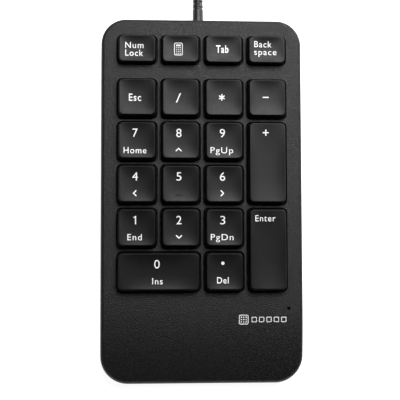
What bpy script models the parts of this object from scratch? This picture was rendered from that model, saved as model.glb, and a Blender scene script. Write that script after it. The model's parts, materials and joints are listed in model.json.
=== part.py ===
"""Numeric keypad with 21 low keys, a sloped palm rest and a corded USB plug.

World frame: X to the right, Y to the rear (where the cable leaves), Z up.  The origin is at the
middle of the keypad's footprint, on the surface that its rubber feet stand on.

Lengths below are millimetres.  make_piece() turns them into metres.
The key stack lies parallel to the sloping deck, so its pieces use deck coordinates: x, v and w.
v runs up the slope to the rear, and w is the height above the deck's surface.
"""

import math

import bmesh
import bpy
from mathutils import Vector

MM = 0.001

# ---- housing ----
HALF_WIDTH = 44.4
HALF_DEPTH = 80.0
REAR_CORNER = 11.0
FRONT_CORNER = 12.0
CORNER_STEPS = 5
TILT = math.radians(4.0)
DECK_HEIGHT = 17.5            # height of the deck above the origin
PALM_START = -48.0            # the palm rest falls away in front of this line
PALM_DROP = 3.9               # how far below the deck's plane its front edge lies
PALM_STEPS = 5
EDGE_ROUND = 1.7
EDGE_STEPS = 3
SMALL_CORNER_STEPS = 2        # for every rounded rectangle smaller than the housing
SMOOTH_ANGLE = math.radians(35.0)
WALL = 2.0
SKIN = 2.0
SEAM_Z = 5.3                  # lower edge of the top cover
GAP = 0.3
OVERSHOOT = 1.0               # how far a cutter reaches past the face that it opens
EMBED = 0.6                   # how far an added post or rib reaches into the wall that it stands on

BASE_UNDERSIDE = 1.2
BASE_FLOOR = 3.0
BASE_RIM = 5.0
LIP_TOP = 6.2
LIP_THICKNESS = 1.0
BASE_BEVEL = ((1.2, 0.0), (0.3, 0.4), (0.0, 1.3))      # inset and height above the underside
RIBS = (-12.0, 12.0)
RIB_HALF = 0.6
RIB_FRONT = -34.0
RIB_REAR = 64.0
RIB_CLEARANCE = 0.4

# ---- keys ----
PITCH = 19.05
ROW_4 = 6.3                   # v of the fourth row's middle line
ROW_1 = 66.2
KEY_BASE = 17.2
KEY_TOP = 15.1
KEY_CORNER = 2.0
ROW_1_DEPTH = 12.4
ROW_1_TOP_DEPTH = 11.0
ROW_1_TOP_SHIFT = -0.2
TOP_SHIFT = 0.15              # how far a key's top stands behind the middle of its base
OPENING_GAP = 0.3
KEY_RISE = 4.6
SKIRT_BOTTOM = -1.0
SKIRT_TOP = 0.3               # the skirt's sides slope inwards above this
ROOF_UNDERSIDE = 3.1
KEY_WALL = 1.1
KEY_INNER_CORNER = 1.2
RIM_INSET = 0.25
RIM_DROP = 0.35
DISH_INSET = 2.5
DISH_DEPTH = 0.25
STEM_RADIUS = 2.5
STEM_BOTTOM = -6.0
GUIDE_OFFSET = PITCH / 2
STEM_SIDES = 12

# name, column (0 to 3, may be between two), row (1 to 6), width and depth in pitches
KEYS = (
    ("key_num_lock", 0, 1, 1, 1),
    ("key_calculator", 1, 1, 1, 1),
    ("key_tab", 2, 1, 1, 1),
    ("key_backspace", 3, 1, 1, 1),
    ("key_escape", 0, 2, 1, 1),
    ("key_divide", 1, 2, 1, 1),
    ("key_multiply", 2, 2, 1, 1),
    ("key_minus", 3, 2, 1, 1),
    ("key_7", 0, 3, 1, 1),
    ("key_8", 1, 3, 1, 1),
    ("key_9", 2, 3, 1, 1),
    ("key_plus", 3, 3.5, 1, 2),
    ("key_4", 0, 4, 1, 1),
    ("key_5", 1, 4, 1, 1),
    ("key_6", 2, 4, 1, 1),
    ("key_1", 0, 5, 1, 1),
    ("key_2", 1, 5, 1, 1),
    ("key_3", 2, 5, 1, 1),
    ("key_enter", 3, 5.5, 1, 2),
    ("key_0", 0.5, 6, 2, 1),
    ("key_decimal", 2, 6, 1, 1),
)

# ---- switch stack, in deck coordinates ----
STACK_HALF_WIDTH = 37.2
STACK_FRONT = -40.5
STACK_REAR = 75.0
STACK_CORNER = 2.0
FRAME_TOP = -4.2
FRAME_BOTTOM = -5.4
CHIMNEY_TOP = -0.4
CHIMNEY_OUTER = 3.8
CHIMNEY_INNER = 3.05
CHIMNEY_SIDES = 8
DOME_SHEET_TOP = -9.0
DOME_SHEET_BOTTOM = -9.4
DOME_TOP = -6.3
DOME_SKIN = 0.5
DOME_FOOT = 3.7
DOME_HEAD = 2.5
DOME_SIDES = 8
MEMBRANE_TOPS = {"membrane_top_layer": -9.45, "membrane_spacer": -9.6, "membrane_bottom_layer": -9.75}
MEMBRANE_THICKNESS = 0.1
CONTACT_HOLE = 2.0
CONTACT_SIDES = 6
PLATE_TOP = -10.0
PLATE_BOTTOM = -10.8
STAKES = ((-PITCH, 34.9), (PITCH, 34.9), (-PITCH, -3.2), (PITCH, -3.2))
STAKE_RADIUS = 1.0
STAKE_HEAD = 1.8
STAKE_END = -11.9

# ---- screws, feet and bosses (world x, y) ----
SCREWS = {
    "screw_rear_left": (-PITCH, 56.0),
    "screw_rear_right": (PITCH, 56.0),
    "screw_middle_left": (-30.0, -44.5),
    "screw_middle_right": (30.0, -44.5),
    "screw_front_left": (-20.0, -72.0),
    "screw_front_right": (20.0, -72.0),
}
BOSS_RADIUS = 3.0
BOSS_HOLE = 1.5
BOSS_HOLE_TOP = 8.6
BOSS_EMBED = 1.0              # how far a boss reaches up into the deck's skin
PAD_RADIUS = 4.0
SCREW_HEAD = 2.5
SCREW_HEAD_BEVEL = 0.5
RECESS_GAP = 0.4
SCREW_SHANK = 1.2
SCREW_HEAD_BOTTOM = 1.5
SCREW_HEAD_TOP = 2.7
SCREW_TIP = 8.0
RECESS_TOP = 3.0

FEET = {
    "rubber_foot_rear_left": (-34.0, 66.0),
    "rubber_foot_rear_right": (34.0, 66.0),
    "rubber_foot_front_left": (-34.0, -66.0),
    "rubber_foot_front_right": (34.0, -66.0),
}
FOOT_RADIUS = 4.7
FOOT_HEIGHT = 1.7
FOOT_BEVEL = 0.4
FOOT_SIDES = 16

# ---- controller board ----
BOARD_BOTTOM = 4.3
BOARD_TOP = 5.3
BOARD_OUTLINE = (
    (-24.0, -63.0), (40.5, -63.0), (40.5, -44.8), (35.0, -44.8), (35.0, -49.3), (-24.0, -49.3),
)
BOARD_POSTS = ((-20.0, -60.5), (36.5, -60.5), (8.0, -51.5))
BOARD_POST_RADIUS = 1.5
# left, front, right, rear, height above the board and thickness
CHIP = (11.0, -61.0, 20.0, -53.0, 0.3, 1.4)
HEADER = (-17.2, -60.0, -10.0, -52.0, 0.3, 4.0)
CONNECTOR = (-25.7, -59.5, -17.5, -52.5, 0.3, 3.7)
CLAMP = (-6.5, -52.9, 6.5, -50.2, 0.8, 2.2)
LED_X = 37.96
LED_Y = -47.7
LED_HOLE = 0.75
LAMP = (LED_X - 1.0, LED_Y - 0.6, LED_X + 1.0, LED_Y + 0.6, 0.3, 0.8)
PIPE_RADIUS = 1.4
PIPE_SHOULDER_DROP = 2.6      # the pipe's shoulder below the deck
PIPE_TIP_DROP = 0.2
TAIL_HALF_WIDTH = 5.0
TAIL_PATH = ((-38.5, -9.8), (-41.5, -9.8), (-44.0, -9.5), (-47.5, -8.75), (-50.3, -8.37), (-53.7, -8.14))
TAIL_THICKNESS = 0.06

# ---- cable ----
CABLE_X = -0.7                # a little left of the middle
BOOT_Z = 7.75
BOOT_RADIUS = 2.45
BOOT_TIP_RADIUS = 2.2
BOOT_TIP_BEVEL = 0.25
BOOT_FLANGE = 3.9
BOOT_END = 98.0
BOOT_INNER_END = 74.5
BOOT_SIDES = 16
POCKET_DEPTH = 6.5            # the pocket behind the rear wall that holds the boot's flange
POCKET_FLOOR = 3.8
POCKET_WALL_GAP = 0.1
CABLE_RADIUS = 2.0
LEAD_RADIUS = 1.3
ROUTE_STEPS = 24              # fine steps between two knots when a route is measured
INNER_POINTS = 48
CABLE_POINTS = 14
TAIL_POINTS = 8
COIL_X = -1.0
COIL_Y = 156.0
COIL_INNER = 12.6
COIL_OUTER = 29.4
COIL_BOTTOM = 1.2
COIL_TOP = 13.5
COIL_SIDES = 28
COIL_CORNER = 3.5
TIE_THICKNESS = 0.8
TIE_HALF_WIDTH = 1.6

CABLE_ROUTE = (
    (-0.7, 98.3, 7.75), (-0.6, 102.0, 7.5), (0.0, 106.0, 6.5), (1.6, 110.0, 5.1), (4.2, 114.0, 3.7),
    (7.6, 117.4, 2.6), (11.4, 120.2, 2.1), (15.3, 123.2, 2.1), (19.6, 127.2, 2.1), (23.7, 132.6, 2.1),
    (27.1, 139.0, 2.2), (29.5, 146.4, 2.5), (30.6, 151.7, 2.9), (30.9, 156.0, 3.2),
)
TAIL_ROUTE = (
    (-28.6, 172.0, 3.2), (-31.0, 167.9, 2.9), (-33.4, 163.8, 2.5), (-35.6, 159.9, 2.4),
    (-37.4, 156.2, 2.7), (-38.6, 152.8, 3.5), (-39.3, 150.0, 4.2), (-39.4, 148.0, 4.3),
)
INNER_ROUTE = (
    (-0.7, 74.2, 7.75), (-0.9, 72.0, 7.7), (-2.2, 69.7, 7.4), (-4.8, 68.2, 7.0), (-9.0, 68.0, 6.6),
    (-17.0, 68.0, 6.2), (-26.0, 68.0, 6.0), (-32.0, 67.4, 6.0), (-36.4, 65.0, 6.0), (-38.7, 60.8, 6.0),
    (-39.3, 54.0, 6.0), (-39.3, 30.0, 6.0), (-39.3, 6.0, 6.0), (-39.3, -20.0, 6.0), (-39.3, -42.0, 6.0),
    (-38.9, -48.0, 6.1), (-37.0, -52.8, 6.5), (-33.6, -55.5, 7.1), (-29.5, -56.0, 7.5), (-26.0, -56.0, 7.6),
)

PLUG_X = -39.4
PLUG_Z = 4.3
PLUG_START = 147.5            # the overmould begins here and points towards the keypad
PLUG_LENGTH = 31.0
# distance from the start, width, height and corner radius of the overmould
PLUG_SECTIONS = (
    (0.0, 5.2, 5.2, 2.5), (8.2, 6.6, 5.8, 2.6), (10.5, 12.0, 7.2, 2.4), (13.5, 15.4, 8.0, 2.2),
    (30.0, 15.8, 8.0, 2.0), (PLUG_LENGTH, 15.0, 7.4, 1.6),
)
SHELL_LENGTH = 12.0
SHELL_WIDTH = 12.0
SHELL_HEIGHT = 4.5
SHELL_WALL = 0.35
SHELL_CORNER = 0.6
SHELL_INNER_CORNER = 0.4
TONGUE_SETBACK = 0.8
TONGUE_THICKNESS = 1.6


# ---------------------------------------------------------------- geometry helpers

def rounded_ring(width, depth, radius, height, centre=(0.0, 0.0)):
    """A rounded rectangle's points at one height, anticlockwise from above."""
    points = []
    steps = SMALL_CORNER_STEPS
    for side_x, side_y, start in ((1, 1, 0), (-1, 1, 90), (-1, -1, 180), (1, -1, 270)):
        for step in range(steps + 1):
            angle = math.radians(start + 90 * step / steps)
            x = centre[0] + side_x * (width / 2 - radius) + radius * math.cos(angle)
            y = centre[1] + side_y * (depth / 2 - radius) + radius * math.sin(angle)
            points.append((x, y, height))
    return points


def circle(radius, sides, height, centre=(0.0, 0.0)):
    """A circle's points at one height; half a step of turn gives flats on the axes."""
    points = []
    for side in range(sides):
        angle = math.tau * (side + 0.5) / sides
        points.append((centre[0] + radius * math.cos(angle), centre[1] + radius * math.sin(angle), height))
    return points


def loft(rings, closed=False):
    """A body through equal-sized rings: capped at both ends, or closed into a loop."""
    count = len(rings[0])
    points = [point for ring in rings for point in ring]
    faces = []
    for span in range(len(rings) if closed else len(rings) - 1):
        first = span * count
        second = (span + 1) % len(rings) * count
        for k in range(count):
            after = (k + 1) % count
            faces.append((first + k, first + after, second + after, second + k))
    if not closed:
        faces.append(tuple(range(count)))
        faces.append(tuple((len(rings) - 1) * count + k for k in range(count)))
    return points, faces


def turned(profile, sides, centre=(0.0, 0.0)):
    """A body turned about a vertical axis from (radius, height) pairs."""
    return loft([circle(radius, sides, height, centre) for radius, height in profile])


def prism(outline, bottom, top):
    """A flat outline drawn out between two heights."""
    return loft([[(x, y, bottom) for x, y in outline], [(x, y, top) for x, y in outline]])


def block(low, high):
    """A box between two corners."""
    outline = ((low[0], low[1]), (high[0], low[1]), (high[0], high[1]), (low[0], high[1]))
    return prism(outline, low[2], high[2])


def along_y(rings, centre_x, centre_z):
    """Rings drawn flat are stood up across Y: their height becomes the place along Y."""
    return [[(centre_x + x, along, centre_z + z) for x, z, along in ring] for ring in rings]


def material(name, colour, roughness, metallic=0.0):
    """A Principled material."""
    made = bpy.data.materials.new(name)
    made.use_nodes = True
    shader = made.node_tree.nodes["Principled BSDF"]
    shader.inputs["Base Color"].default_value = (*colour, 1.0)
    shader.inputs["Roughness"].default_value = roughness
    shader.inputs["Metallic"].default_value = metallic
    return made


def add_bodies(mesh, bodies):
    """Fill a mesh with closed bodies, in metres, faces pointing out, round parts smooth."""
    work = bmesh.new()
    for points, faces in bodies:
        vertices = [work.verts.new(Vector(point) * MM) for point in points]
        for face in faces:
            work.faces.new([vertices[k] for k in face])
    bmesh.ops.recalc_face_normals(work, faces=work.faces)
    work.to_mesh(mesh)
    work.free()
    mesh.shade_smooth()
    mesh.set_sharp_from_angle(angle=SMOOTH_ANGLE)


def make_piece(name, bodies, finish, parent=None, place=(0.0, 0.0, 0.0)):
    """One named object from closed bodies given in millimetres."""
    mesh = bpy.data.meshes.new(name)
    add_bodies(mesh, bodies)
    mesh.materials.append(finish)
    piece = bpy.data.objects.new(name, mesh)
    piece.parent = parent
    piece.location = Vector(place) * MM
    bpy.context.collection.objects.link(piece)
    return piece


def apply_tool(piece, kind, bodies, operation, parent=None):
    """Cut bodies out of a piece, or join them to it, with an exact Boolean."""
    tool = make_piece(f"{piece.name}_{kind}_tool", bodies, piece.data.materials[0], parent)
    tool.hide_render = True
    tool.display_type = "WIRE"
    step = piece.modifiers.new(kind, "BOOLEAN")
    step.operation = operation
    step.solver = "EXACT"
    step.object = tool


def smooth_route(knots, point_count):
    """Evenly spread points on a Catmull-Rom curve through the knots."""
    fine = []
    padded = [2 * knots[0] - knots[1], *knots, 2 * knots[-1] - knots[-2]]
    for a, b, c, d in zip(padded, padded[1:], padded[2:], padded[3:]):
        for step in range(ROUTE_STEPS):
            t = step / ROUTE_STEPS
            fine.append(0.5 * (2 * b + (c - a) * t + (2 * a - 5 * b + 4 * c - d) * t * t
                               + (3 * b - a - 3 * c + d) * t ** 3))
    fine.append(knots[-1])
    lengths = [0.0]
    for first, second in zip(fine, fine[1:]):
        lengths.append(lengths[-1] + (second - first).length)
    samples = []
    span = 0
    for k in range(point_count):
        target = lengths[-1] * k / (point_count - 1)
        while span < len(lengths) - 2 and lengths[span + 1] < target:
            span += 1
        share = (target - lengths[span]) / (lengths[span + 1] - lengths[span])
        samples.append(fine[span].lerp(fine[span + 1], share))
    return samples


def make_tube(name, route, radius, finish, point_count):
    """A cord along a smooth curve through its route, with filled ends."""
    knots = [Vector(point) for point in route]
    samples = smooth_route(knots, point_count)
    curve = bpy.data.curves.new(name, "CURVE")
    curve.dimensions = "3D"
    curve.bevel_depth = radius * MM
    curve.bevel_resolution = 2
    curve.use_fill_caps = True
    spline = curve.splines.new("POLY")
    spline.points.add(len(samples) - 1)
    for point, sample in zip(spline.points, samples):
        point.co = (*(sample * MM), 1.0)
    curve.materials.append(finish)
    tube = bpy.data.objects.new(name, curve)
    bpy.context.collection.objects.link(tube)
    return tube


# ---------------------------------------------------------------- layout

def deck_z(y):
    """Height of the top cover's surface at a world y."""
    height = DECK_HEIGHT + y * math.tan(TILT)
    if y < PALM_START:
        share = (PALM_START - y) / (PALM_START + HALF_DEPTH)
        height -= PALM_DROP * share * share
    return height


def key_centre(column, row):
    """A key's middle in deck coordinates."""
    x = (column - 1.5) * PITCH
    v = ROW_1 if row == 1 else ROW_4 + (4 - row) * PITCH
    return x, v


def key_size(row, wide, deep):
    """Width and depth of a key's base."""
    width = KEY_BASE + (wide - 1) * PITCH
    depth = ROW_1_DEPTH if row == 1 else KEY_BASE + (deep - 1) * PITCH
    return width, depth


def guide_places(wide, deep):
    """Where a long key's two guide posts stand, from the key's middle."""
    if wide == 1 and deep == 1:
        return []
    across = GUIDE_OFFSET if wide > 1 else 0.0
    along = GUIDE_OFFSET if deep > 1 else 0.0
    return [(-across, -along), (across, along)]


def half_outline(inset):
    """The right half of the housing's outline, rear to front, moved in by inset."""
    points = []
    rear_x = HALF_WIDTH - REAR_CORNER
    rear_y = HALF_DEPTH - REAR_CORNER
    for step in range(CORNER_STEPS + 1):
        angle = math.radians(90 - 90 * step / CORNER_STEPS)
        radius = REAR_CORNER - inset
        points.append((rear_x + radius * math.cos(angle), rear_y + radius * math.sin(angle)))
    front_x = HALF_WIDTH - FRONT_CORNER
    front_y = -HALF_DEPTH + FRONT_CORNER
    for step in range(PALM_STEPS):
        y = PALM_START + (front_y - PALM_START) * step / PALM_STEPS
        points.append((HALF_WIDTH - inset, y))
    for step in range(CORNER_STEPS + 1):
        angle = math.radians(-90 * step / CORNER_STEPS)
        radius = FRONT_CORNER - inset
        points.append((front_x + radius * math.cos(angle), front_y + radius * math.sin(angle)))
    return points


def housing_ring(inset, height):
    """The housing's outline at a height, which is a number or a function of y."""
    right = half_outline(inset)
    outline = right + [(-x, y) for x, y in reversed(right)]
    return [(x, y, height(y) if callable(height) else height) for x, y in outline]


def ladder(ring_start, count):
    """Faces across a ring whose second half mirrors its first, one per pair of points."""
    faces = []
    for k in range(count // 2 - 1):
        left = count - 1 - k
        faces.append((ring_start + k, ring_start + k + 1, ring_start + left - 1, ring_start + left))
    return faces


# ---------------------------------------------------------------- covers

def cover_body():
    """The top cover: rounded outer shell, hollow below, before its holes are cut."""
    rings = [housing_ring(0.0, SEAM_Z)]
    for step in range(EDGE_STEPS + 1):
        angle = math.radians(90 * step / EDGE_STEPS)
        inset = EDGE_ROUND * (1 - math.cos(angle))
        drop = EDGE_ROUND * (1 - math.sin(angle))
        rings.append(housing_ring(inset, lambda y, drop=drop: deck_z(y) - drop))
    outer_count = len(rings)
    rings.append(housing_ring(WALL, SEAM_Z))
    rings.append(housing_ring(WALL, lambda y: deck_z(y) - SKIN))
    count = len(rings[0])
    points = [point for ring in rings for point in ring]
    faces = []
    joins = [(k, k + 1) for k in range(outer_count - 1)]
    joins += [(0, outer_count), (outer_count, outer_count + 1)]
    for low, high in joins:
        for k in range(count):
            after = (k + 1) % count
            faces.append((low * count + k, low * count + after, high * count + after, high * count + k))
    faces += ladder((outer_count - 1) * count, count)
    faces += ladder((outer_count + 1) * count, count)
    return points, faces


def make_top_cover(finish, deck):
    """Top cover with 21 key openings, six bosses, the lamp hole and half the cable slot."""
    cover = make_piece("top_cover", [cover_body()], finish)
    bosses = [
        turned([(BOSS_RADIUS, SEAM_Z), (BOSS_RADIUS, deck_z(y) - SKIN + BOSS_EMBED)], STEM_SIDES, (x, y))
        for x, y in SCREWS.values()
    ]
    apply_tool(cover, "bosses", bosses, "UNION")
    openings = []
    for name, column, row, wide, deep in KEYS:
        width, depth = key_size(row, wide, deep)
        rings = [
            rounded_ring(width + 2 * OPENING_GAP, depth + 2 * OPENING_GAP, KEY_CORNER + OPENING_GAP,
                         height, key_centre(column, row))
            for height in (-2 * SKIN, 2 * OVERSHOOT)
        ]
        openings.append(loft(rings))
    apply_tool(cover, "openings", openings, "DIFFERENCE", deck)
    holes = [
        turned([(BOSS_HOLE, SEAM_Z - OVERSHOOT), (BOSS_HOLE, BOSS_HOLE_TOP)], STEM_SIDES, place)
        for place in SCREWS.values()
    ]
    holes.append(turned([(LED_HOLE, SEAM_Z), (LED_HOLE, DECK_HEIGHT)], STEM_SIDES, (LED_X, LED_Y)))
    holes.append(cable_slot())
    apply_tool(cover, "holes", holes, "DIFFERENCE")


def cable_slot():
    """A slot in the rear wall, round at the top and open at the seam."""
    radius = BOOT_RADIUS + GAP
    below = SEAM_Z - 2 * OVERSHOOT - BOOT_Z
    outline = [(-radius, below), (radius, below)]
    arc_steps = BOOT_SIDES // 2 - 2
    for step in range(arc_steps + 1):
        angle = math.pi * step / arc_steps
        outline.append((radius * math.cos(angle), radius * math.sin(angle)))
    ends = (HALF_DEPTH - WALL - 3 * OVERSHOOT, HALF_DEPTH + OVERSHOOT)
    rings = [[(x, z, along) for x, z in outline] for along in ends]
    return loft(along_y(rings, CABLE_X, BOOT_Z))


def base_body():
    """The bottom cover: a shallow tray with a stepped lip, before its holes are cut."""
    lip_inset = WALL + GAP
    bevel = [housing_ring(inset, BASE_UNDERSIDE + rise) for inset, rise in BASE_BEVEL]
    return loft(bevel + [
        housing_ring(0.0, BASE_RIM),
        housing_ring(lip_inset, BASE_RIM),
        housing_ring(lip_inset, LIP_TOP),
        housing_ring(lip_inset + LIP_THICKNESS, LIP_TOP),
        housing_ring(lip_inset + LIP_THICKNESS, BASE_FLOOR),
    ])


def support_rib(x):
    """A long rib that holds the support plate up from below."""
    foot = BASE_FLOOR - EMBED

    def rib_top(y):
        return DECK_HEIGHT + y * math.tan(TILT) + (PLATE_BOTTOM - RIB_CLEARANCE) / math.cos(TILT)

    rings = []
    for side in (x - RIB_HALF, x + RIB_HALF):
        rings.append([
            (side, RIB_FRONT, foot), (side, RIB_REAR, foot),
            (side, RIB_REAR, rib_top(RIB_REAR)), (side, RIB_FRONT, rib_top(RIB_FRONT)),
        ])
    return loft(rings)


def make_bottom_cover(finish):
    """Bottom cover with screw pads, board posts, ribs, foot pockets and screw recesses."""
    base = make_piece("bottom_cover", [base_body()], finish)
    foot = BASE_FLOOR - EMBED
    added = [turned([(PAD_RADIUS, foot), (PAD_RADIUS, BASE_RIM)], STEM_SIDES, place)
             for place in SCREWS.values()]
    post_profile = [(BOARD_POST_RADIUS, foot), (BOARD_POST_RADIUS, BOARD_BOTTOM - GAP)]
    added += [turned(post_profile, CHIMNEY_SIDES, place) for place in BOARD_POSTS]
    added += [support_rib(x) for x in RIBS]
    apply_tool(base, "posts", added, "UNION")
    holes = []
    for place in SCREWS.values():
        profile = [(SCREW_HEAD + RECESS_GAP, 0.0), (SCREW_HEAD + RECESS_GAP, RECESS_TOP),
                   (BOSS_HOLE, RECESS_TOP), (BOSS_HOLE, BASE_RIM + OVERSHOOT)]
        holes.append(turned(profile, STEM_SIDES, place))
    for place in FEET.values():
        profile = [(FOOT_RADIUS + GAP, 0.0), (FOOT_RADIUS + GAP, FOOT_HEIGHT + GAP)]
        holes.append(turned(profile, FOOT_SIDES, place))
    flange = BOOT_FLANGE + GAP
    holes.append(block((CABLE_X - flange, HALF_DEPTH - POCKET_DEPTH, POCKET_FLOOR),
                       (CABLE_X + flange, HALF_DEPTH - WALL - POCKET_WALL_GAP, LIP_TOP + OVERSHOOT)))
    apply_tool(base, "holes", holes, "DIFFERENCE")


# ---------------------------------------------------------------- keys

def keycap_body(width, depth, top_width, top_depth, top_shift):
    """A hollow keycap with a sloping skirt, a dished top and a round stem below."""

    def level(share, inset, height, corner=KEY_CORNER):
        wide = width + (top_width - width) * share - 2 * inset
        deep = depth + (top_depth - depth) * share - 2 * inset
        return rounded_ring(wide, deep, corner, height, (0.0, top_shift * share))

    return loft([
        circle(STEM_RADIUS, STEM_SIDES, STEM_BOTTOM),
        circle(STEM_RADIUS, STEM_SIDES, ROOF_UNDERSIDE),
        level(1, KEY_WALL, ROOF_UNDERSIDE, KEY_INNER_CORNER),
        level(0, KEY_WALL, SKIRT_BOTTOM, KEY_INNER_CORNER),
        level(0, 0.0, SKIRT_BOTTOM),
        level(0, 0.0, SKIRT_TOP),
        level(1, -RIM_INSET, KEY_RISE - RIM_DROP),
        level(1, 0.0, KEY_RISE),
        level(1, DISH_INSET, KEY_RISE - DISH_DEPTH),
    ])


def make_keys(finish, deck):
    """All 21 keycaps, each with its origin on its own line of travel."""
    for name, column, row, wide, deep in KEYS:
        x, v = key_centre(column, row)
        width, depth = key_size(row, wide, deep)
        taper = KEY_BASE - KEY_TOP
        top_depth = ROW_1_TOP_DEPTH if row == 1 else depth - taper
        top_shift = ROW_1_TOP_SHIFT if row == 1 else TOP_SHIFT
        body = keycap_body(width, depth, width - taper, top_depth, top_shift)
        cap = make_piece(name, [body], finish, deck, (x, v, 0.0))
        posts = [
            turned([(STEM_RADIUS, FRAME_BOTTOM), (STEM_RADIUS, ROOF_UNDERSIDE + EMBED)], STEM_SIDES,
                   (x + across, v + along))
            for across, along in guide_places(wide, deep)
        ]
        if posts:
            apply_tool(cap, "posts", posts, "UNION", deck)


# ---------------------------------------------------------------- switch stack

def sheet_body(bottom, top):
    """A flat sheet as large as the switch stack."""
    middle = (0.0, (STACK_FRONT + STACK_REAR) / 2)
    depth = STACK_REAR - STACK_FRONT
    return loft([rounded_ring(2 * STACK_HALF_WIDTH, depth, STACK_CORNER, height, middle)
                 for height in (bottom, top)])


def stem_places():
    """Every stem and guide post, in deck coordinates."""
    places = []
    for name, column, row, wide, deep in KEYS:
        x, v = key_centre(column, row)
        places.append((x, v))
        places += [(x + across, v + along) for across, along in guide_places(wide, deep)]
    return places


def clear_stack(sheet, deck, with_stakes=True):
    """Cut the holes that the screw bosses and the frame's stakes pass through."""
    boss_profile = [(BOSS_RADIUS + GAP, SEAM_Z), (BOSS_RADIUS + GAP, DECK_HEIGHT + SKIN)]
    bosses = [turned(boss_profile, STEM_SIDES, place) for name, place in SCREWS.items() if "rear" in name]
    apply_tool(sheet, "boss_holes", bosses, "DIFFERENCE")
    if with_stakes:
        stake_profile = [(STAKE_RADIUS + GAP, STAKE_END), (STAKE_RADIUS + GAP, DOME_TOP)]
        stakes = [turned(stake_profile, CHIMNEY_SIDES, place) for place in STAKES]
        apply_tool(sheet, "stake_holes", stakes, "DIFFERENCE", deck)


def make_key_frame(finish, deck):
    """The frame that guides the stems: a plate with a chimney for each, and four stakes."""
    frame = make_piece("key_frame", [sheet_body(FRAME_BOTTOM, FRAME_TOP)], finish, deck)
    middle = (FRAME_BOTTOM + FRAME_TOP) / 2
    added = [turned([(CHIMNEY_OUTER, middle), (CHIMNEY_OUTER, CHIMNEY_TOP)], CHIMNEY_SIDES, place)
             for place in stem_places()]
    stake_profile = [(STAKE_RADIUS, middle), (STAKE_RADIUS, PLATE_BOTTOM - GAP),
                     (STAKE_HEAD, PLATE_BOTTOM - GAP), (STAKE_HEAD, STAKE_END)]
    added += [turned(stake_profile, CHIMNEY_SIDES, place) for place in STAKES]
    apply_tool(frame, "chimneys", added, "UNION", deck)
    bore_profile = [(CHIMNEY_INNER, FRAME_BOTTOM - OVERSHOOT), (CHIMNEY_INNER, CHIMNEY_TOP + OVERSHOOT)]
    bores = [turned(bore_profile, CHIMNEY_SIDES, place) for place in stem_places()]
    apply_tool(frame, "bores", bores, "DIFFERENCE", deck)
    clear_stack(frame, deck, with_stakes=False)


def make_dome_sheet(finish, deck):
    """The rubber sheet with one hollow dome below each key."""
    sheet = make_piece("rubber_dome_sheet", [sheet_body(DOME_SHEET_BOTTOM, DOME_SHEET_TOP)], finish, deck)
    middle = (DOME_SHEET_BOTTOM + DOME_SHEET_TOP) / 2
    centres = [key_centre(column, row) for name, column, row, wide, deep in KEYS]
    domes = [turned([(DOME_FOOT, middle), (DOME_HEAD, DOME_TOP)], DOME_SIDES, place) for place in centres]
    apply_tool(sheet, "domes", domes, "UNION", deck)
    foot = DOME_FOOT - DOME_SKIN
    hollow = [(foot, DOME_SHEET_BOTTOM - OVERSHOOT), (foot, DOME_SHEET_BOTTOM),
              (DOME_HEAD - DOME_SKIN, DOME_TOP - DOME_SKIN)]
    hollows = [turned(hollow, DOME_SIDES, place) for place in centres]
    apply_tool(sheet, "hollows", hollows, "DIFFERENCE", deck)
    clear_stack(sheet, deck)


def tail_body():
    """The ribbon that leads from the bottom membrane down to the controller board."""
    half = TAIL_THICKNESS / 2
    rings = []
    for v, w in TAIL_PATH:
        rings.append([(-TAIL_HALF_WIDTH, v, w - half), (TAIL_HALF_WIDTH, v, w - half),
                      (TAIL_HALF_WIDTH, v, w + half), (-TAIL_HALF_WIDTH, v, w + half)])
    return loft(rings)


def make_membranes(finish, deck):
    """Two printed layers with a spacer between them, open under each dome."""
    for name, top in MEMBRANE_TOPS.items():
        layer = make_piece(name, [sheet_body(top - MEMBRANE_THICKNESS, top)], finish, deck)
        if name == "membrane_spacer":
            profile = [(CONTACT_HOLE, top - OVERSHOOT), (CONTACT_HOLE, top + OVERSHOOT)]
            holes = [turned(profile, CONTACT_SIDES, key_centre(column, row))
                     for key, column, row, wide, deep in KEYS]
            apply_tool(layer, "contact_holes", holes, "DIFFERENCE", deck)
        if name == "membrane_bottom_layer":
            apply_tool(layer, "tail", [tail_body()], "UNION", deck)
        clear_stack(layer, deck)


def make_support_plate(finish, deck):
    """The steel plate under the membranes."""
    plate = make_piece("support_plate", [sheet_body(PLATE_BOTTOM, PLATE_TOP)], finish, deck)
    clear_stack(plate, deck)


# ---------------------------------------------------------------- electronics

def board_block(extent):
    """A box on the board from its left, front, right, rear, height above the board and thickness."""
    left, front, right, rear, above, thickness = extent
    low = BOARD_TOP + above
    return block((left, front, low), (right, rear, low + thickness))


def make_electronics(board_finish, chip_finish, connector_finish, lamp_finish, pipe_finish):
    """The controller board in the palm rest, with what is soldered or plugged to it."""
    make_piece("controller_board", [prism(BOARD_OUTLINE, BOARD_BOTTOM, BOARD_TOP)], board_finish)
    make_piece("controller_chip", [board_block(CHIP)], chip_finish)
    make_piece("lead_header", [board_block(HEADER)], connector_finish)
    make_piece("lead_connector", [board_block(CONNECTOR)], connector_finish)
    make_piece("tail_clamp", [board_block(CLAMP)], chip_finish)
    make_piece("num_lock_lamp", [board_block(LAMP)], lamp_finish)
    foot = BOARD_TOP + LAMP[-1] + 2 * GAP
    shoulder = deck_z(LED_Y) - PIPE_SHOULDER_DROP
    profile = [(PIPE_RADIUS, foot), (PIPE_RADIUS, shoulder), (LED_HOLE - GAP, shoulder),
               (LED_HOLE - GAP, deck_z(LED_Y) - PIPE_TIP_DROP)]
    make_piece("light_pipe", [turned(profile, STEM_SIDES, (LED_X, LED_Y))], pipe_finish)


# ---------------------------------------------------------------- fasteners and feet

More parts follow.
